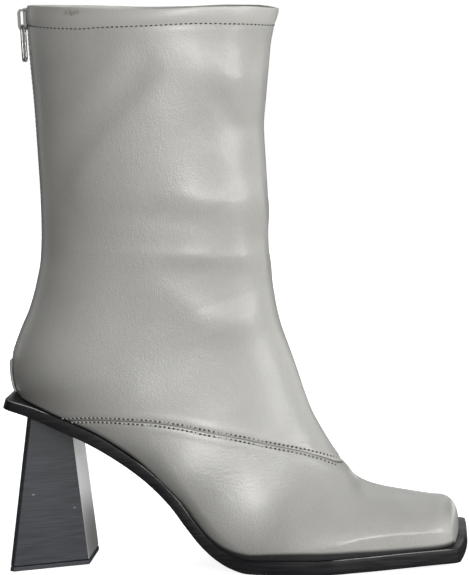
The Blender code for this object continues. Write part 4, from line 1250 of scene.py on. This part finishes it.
def make_sole(look):
    """Outsole with rounded edges, and the painted highlight line along its top edge."""
    stations = sole_stations()
    inset = corner_trim(np.minimum(stations - SOLE_BACK, SOLE_FRONT - stations), SOLE_ROUND)
    trim = corner_trim(stations - SOLE_BACK, SEAT_CORNER) + corner_trim(SOLE_FRONT - stations, TOE_CORNER)
    low_z, top_x, top_z, thick = sole_frame(stations)
    lateral = sole_value("lateral", stations) - trim - inset
    medial = sole_value("medial", stations) - trim - inset
    radius = np.maximum(SOLE_ROUND - inset, SOLE_ROUND_LEAST)
    painted_light = edge_light_share(stations - BOX_CENTRE_X)
    turns = np.pi / 2 * np.arange(SOLE_ROUND_STEPS + 1) / SOLE_ROUND_STEPS
    across = np.linspace(0, 1, SOLE_ACROSS + 1)[1:-1]
    ring = []
    edge = []

    def add(height, y, lit=0.0):
        share = height / thick
        x = stations + (top_x - stations) * share
        ring.append(np.stack([x, y, low_z + (top_z - low_z) * share], axis=-1))
        edge.append(lit * painted_light)

    def add_lower(turn, half, outward):
        add(inset + radius * (1 - np.cos(turn)), outward * (half - radius * (1 - np.sin(turn))))

    def add_upper(turn, half, outward):
        lit = 1.0 if 0 < turn < np.pi / 2 else EDGE_LIGHT_BESIDE
        add(thick - inset - radius * (1 - np.sin(turn)), outward * (half - radius * (1 - np.cos(turn))), lit)

    for turn in turns:
        add_lower(turn, lateral, -1)
    for turn in turns:
        add_upper(turn, lateral, -1)
    for share in across:
        add(thick - inset, -lateral + radius + (lateral + medial - 2 * radius) * share)
    for turn in turns[::-1]:
        add_upper(turn, medial, 1)
    for turn in turns[::-1]:
        add_lower(turn, medial, 1)
    for share in across[::-1]:
        add(inset, -lateral + radius + (lateral + medial - 2 * radius) * share)
    sole = rolled("sole_unit", place(np.stack(ring, axis=1)), top_edge=np.stack(edge, axis=1))
    dress(sole, sole_finish(look), "boot", "sole_edge", "outsole", smooth=40)


def make_heel(look):
    """Flared block heel and its rubber lift, with softly broken edges."""
    heel = node_copy("heel", "heel_block")
    soften(heel, HEEL_BEVEL, 18)
    normals = np.zeros(3 * len(heel.data.polygons), np.float32)
    heel.data.polygons.foreach_get("normal", normals)
    breast = heel.data.attributes.new("breast", "FLOAT", "FACE")
    breast.data.foreach_set("value", (normals[0::3] > BREAST_TURN).astype(np.float32))
    dress(heel, heel_finish(look), "boot", "heel_block", "heel", smooth=40, flat_faces=True)
    lift = node_copy("heel_top_lift", "heel_lift")
    soften(lift, LIFT_BEVEL, 18)
    dress(lift, lift_finish(look), "boot", "top_lift", "heel_top_lift", smooth=40, flat_faces=True)


def camera_matrix():
    """Where the camera stands and how it is turned."""
    azimuth = math.radians(CAMERA_AZIMUTH)
    elevation = math.radians(CAMERA_ELEVATION)
    roll = math.radians(CAMERA_ROLL)
    back = Vector((math.sin(azimuth) * math.cos(elevation), -math.cos(azimuth) * math.cos(elevation),
                   math.sin(elevation)))
    level = Vector((math.cos(azimuth), math.sin(azimuth), 0.0))
    upright = back.cross(level)
    right = math.cos(roll) * level - math.sin(roll) * upright
    up = math.sin(roll) * level + math.cos(roll) * upright
    spot = Vector(CAMERA_TARGET) + CAMERA_DISTANCE * back
    turned = Matrix((right, up, back)).transposed().to_4x4()
    return Matrix.Translation(spot) @ turned


def make_floor(look):
    """The pale floor, which turns white away from the boot."""
    bpy.ops.object.select_all(action="DESELECT")
    bpy.ops.mesh.primitive_plane_add(size=FLOOR_SIZE)
    floor = bpy.context.active_object
    floor.name = "studio_floor"
    finish = Finish("floor_paper", FLOOR_TONE, 0.9)
    finish.set("Emission Strength", look.floor_glow)
    away = finish.vector("LENGTH", finish.place).outputs["Value"]
    finish.use("Emission Color", finish.mix(finish.span(away, *FLOOR_FADE), FLOOR_TONE, WHITE))
    finish.use("Base Color", finish.mix(finish.noise(3.0, 2.0), *FLOOR_MOTTLE))
    floor.data.materials.append(finish.material)
    floor.visible_diffuse = False
    floor.visible_glossy = False


def make_lights(look):
    """The soft studio lights, each turned to what it looks at."""
    for light in LIGHTS:
        bpy.ops.object.light_add(type="AREA", location=light.place)
        lamp = bpy.context.active_object
        lamp.name = "light_" + light.name
        lamp.data.shape = "RECTANGLE"
        lamp.data.size = light.width
        lamp.data.size_y = light.height
        lamp.data.energy = light.power * look.light_share
        lamp.data.color = light.colour
        lamp.visible_camera = False
        aim = Vector(light.target) - Vector(light.place)
        lamp.rotation_euler = aim.to_track_quat("-Z", "Y").to_euler()


def make_room(look):
    """White surroundings, faint as light and bright to the camera."""
    world = bpy.data.worlds.new("white_studio")
    bpy.context.scene.world = world
    world.use_nodes = True
    tree = world.node_tree
    either = tree.nodes.new("ShaderNodeMixShader")
    path = tree.nodes.new("ShaderNodeLightPath")
    tree.links.new(path.outputs["Is Camera Ray"], either.inputs[0])
    backgrounds = (tree.nodes["Background"], tree.nodes.new("ShaderNodeBackground"))
    for k, (room, strength) in enumerate(zip(backgrounds, (look.room_light, BACKDROP))):
        room.inputs["Color"].default_value = (*WHITE, 1.0)
        room.inputs["Strength"].default_value = strength
        tree.links.new(room.outputs[0], either.inputs[1 + k])
    tree.links.new(either.outputs[0], tree.nodes["World Output"].inputs["Surface"])


def make_stage(look):
    """Pale floor, soft studio lights, white surroundings and the camera."""
    make_floor(look)
    make_lights(look)
    make_room(look)
    scene = bpy.context.scene
    scene.view_settings.view_transform = "Standard"
    bpy.ops.object.camera_add()
    camera = bpy.context.active_object
    camera.name = "photo_camera"
    camera.matrix_world = camera_matrix()
    camera.data.lens = CAMERA_LENS
    camera.data.clip_end = CAMERA_REACH
    scene.camera = camera


def colour_property(name, description, default):
    """A colour that a user may change."""
    return bpy.props.FloatVectorProperty(name=name, description=description, default=default, size=3,
                                         subtype="COLOR", min=0.0, max=1.0)


def number_property(name, description, default, low, high, subtype="NONE"):
    """A number that a user may change."""
    return bpy.props.FloatProperty(name=name, description=description, default=default, min=low, max=high,
                                   subtype=subtype)


class BootLook(bpy.types.PropertyGroup):
    """Sizes and colours of the boot's looks"""

    leather_colour: colour_property("Leather", "Colour of the upper", (0.416, 0.412, 0.392))
    lining_colour: colour_property("Lining", "Colour of lining and sock", (0.5, 0.47, 0.41))
    thread_colour: colour_property("Thread", "Colour of the sewing thread", (0.5, 0.49, 0.46))
    sole_colour: colour_property("Sole", "Colour of the sole's edge", (0.011, 0.011, 0.013))
    heel_colour: colour_property("Heel", "Colour of the block heel", (0.043, 0.047, 0.056))
    lift_colour: colour_property("Lift", "Colour of the heel's rubber lift", (0.042, 0.045, 0.053))
    tape_colour: colour_property("Tape", "Colour of the zip's tape", (0.17, 0.17, 0.16))
    metal_colour: colour_property("Zip metal", "Colour of teeth, slider and pull", (0.3, 0.3, 0.29))
    leather_roughness: number_property("Leather roughness", "Gloss of the upper", 0.37, 0.0, 1.0, "FACTOR")
    fold_share: number_property("Folds", "Share of the folds' height", 1.0, 0.0, 2.0, "FACTOR")
    vamp_pitch: number_property("Vamp stitch", "Stitch pitch on the seams, in mm", 2.35, 1.0, 6.0)
    collar_pitch: number_property("Collar stitch", "Stitch pitch at the collar, in mm", 2.5, 1.0, 6.0)
    thread_radius: number_property("Thread radius", "Radius of the thread, in mm", 0.34, 0.1, 1.0)
    light_share: number_property("Lights", "Share of the lights' power", 1.0, 0.0, 4.0, "FACTOR")
    room_light: number_property("Room", "Light from the white surroundings", 0.05, 0.0, 4.0)
    floor_glow: number_property("Floor", "Own light of the pale floor", 1.0, 0.0, 4.0)


class BOOT_OT_upper(bpy.types.Operator):
    """Makes the upper's leather wall with its folds, seams and collar"""

    bl_idname = "boot.upper"
    bl_label = "Upper"

    def execute(self, context):
        make_upper(context.scene.boot_look)
        return {"FINISHED"}


class BOOT_OT_lining(bpy.types.Operator):
    """Makes the lining and the sock inside the boot"""

    bl_idname = "boot.lining"
    bl_label = "Lining"

    def execute(self, context):
        make_lining(context.scene.boot_look)
        return {"FINISHED"}


class BOOT_OT_stitching(bpy.types.Operator):
    """Sews the seams: threads and needle holes"""

    bl_idname = "boot.stitching"
    bl_label = "Stitching"

    def execute(self, context):
        make_stitching(context.scene.boot_look)
        return {"FINISHED"}


class BOOT_OT_back_strip(bpy.types.Operator):
    """Makes the leather strip over the heel's back"""

    bl_idname = "boot.back_strip"
    bl_label = "Back strip"

    def execute(self, context):
        make_back_strip(context.scene.boot_look)
        return {"FINISHED"}


class BOOT_OT_zip(bpy.types.Operator):
    """Makes the zip's tape and teeth"""

    bl_idname = "boot.zip"
    bl_label = "Zip"

    def execute(self, context):
        make_zip(context.scene.boot_look)
        return {"FINISHED"}


class BOOT_OT_slider(bpy.types.Operator):
    """Makes the zip's slider and pull"""

    bl_idname = "boot.slider"
    bl_label = "Slider and pull"

    def execute(self, context):
        make_slider(context.scene.boot_look)
        return {"FINISHED"}


class BOOT_OT_sole(bpy.types.Operator):
    """Makes the outsole"""

    bl_idname = "boot.sole"
    bl_label = "Sole"

    def execute(self, context):
        make_sole(context.scene.boot_look)
        return {"FINISHED"}


class BOOT_OT_heel(bpy.types.Operator):
    """Makes the block heel and its lift"""

    bl_idname = "boot.heel"
    bl_label = "Heel"

    def execute(self, context):
        make_heel(context.scene.boot_look)
        return {"FINISHED"}


class BOOT_OT_stage(bpy.types.Operator):
    """Sets up floor, lights and camera"""

    bl_idname = "boot.stage"
    bl_label = "Stage"

    def execute(self, context):
        make_stage(context.scene.boot_look)
        return {"FINISHED"}


OPERATORS = (BOOT_OT_upper, BOOT_OT_lining, BOOT_OT_stitching, BOOT_OT_back_strip, BOOT_OT_zip,
             BOOT_OT_slider, BOOT_OT_sole, BOOT_OT_heel, BOOT_OT_stage)


class BOOT_PT_sidebar(bpy.types.Panel):
    """Lists the boot's settings and the steps that make it"""

    bl_idname = "BOOT_PT_sidebar"
    bl_label = "Heeled Ankle Boot"
    bl_space_type = "VIEW_3D"
    bl_region_type = "UI"
    bl_category = "Boot"

    def draw(self, context):
        for name in BootLook.__annotations__:
            self.layout.prop(context.scene.boot_look, name)
        for operator in OPERATORS:
            self.layout.operator(operator.bl_idname)


CLASSES = (BootLook, *OPERATORS, BOOT_PT_sidebar)


def register():
    """Adds the classes and the boot's settings."""
    for item in CLASSES:
        bpy.utils.register_class(item)
    bpy.types.Scene.boot_look = bpy.props.PointerProperty(type=BootLook)


def unregister():
    """Removes them again."""
    del bpy.types.Scene.boot_look
    for item in reversed(CLASSES):
        bpy.utils.unregister_class(item)


def main():
    """Makes every piece in order."""
    register()
    bpy.ops.boot.upper()
    bpy.ops.boot.lining()
    bpy.ops.boot.stitching()
    bpy.ops.boot.back_strip()
    bpy.ops.boot.zip()
    bpy.ops.boot.slider()
    bpy.ops.boot.sole()
    bpy.ops.boot.heel()
    bpy.ops.boot.stage()


if __name__ == "__main__":
    main()
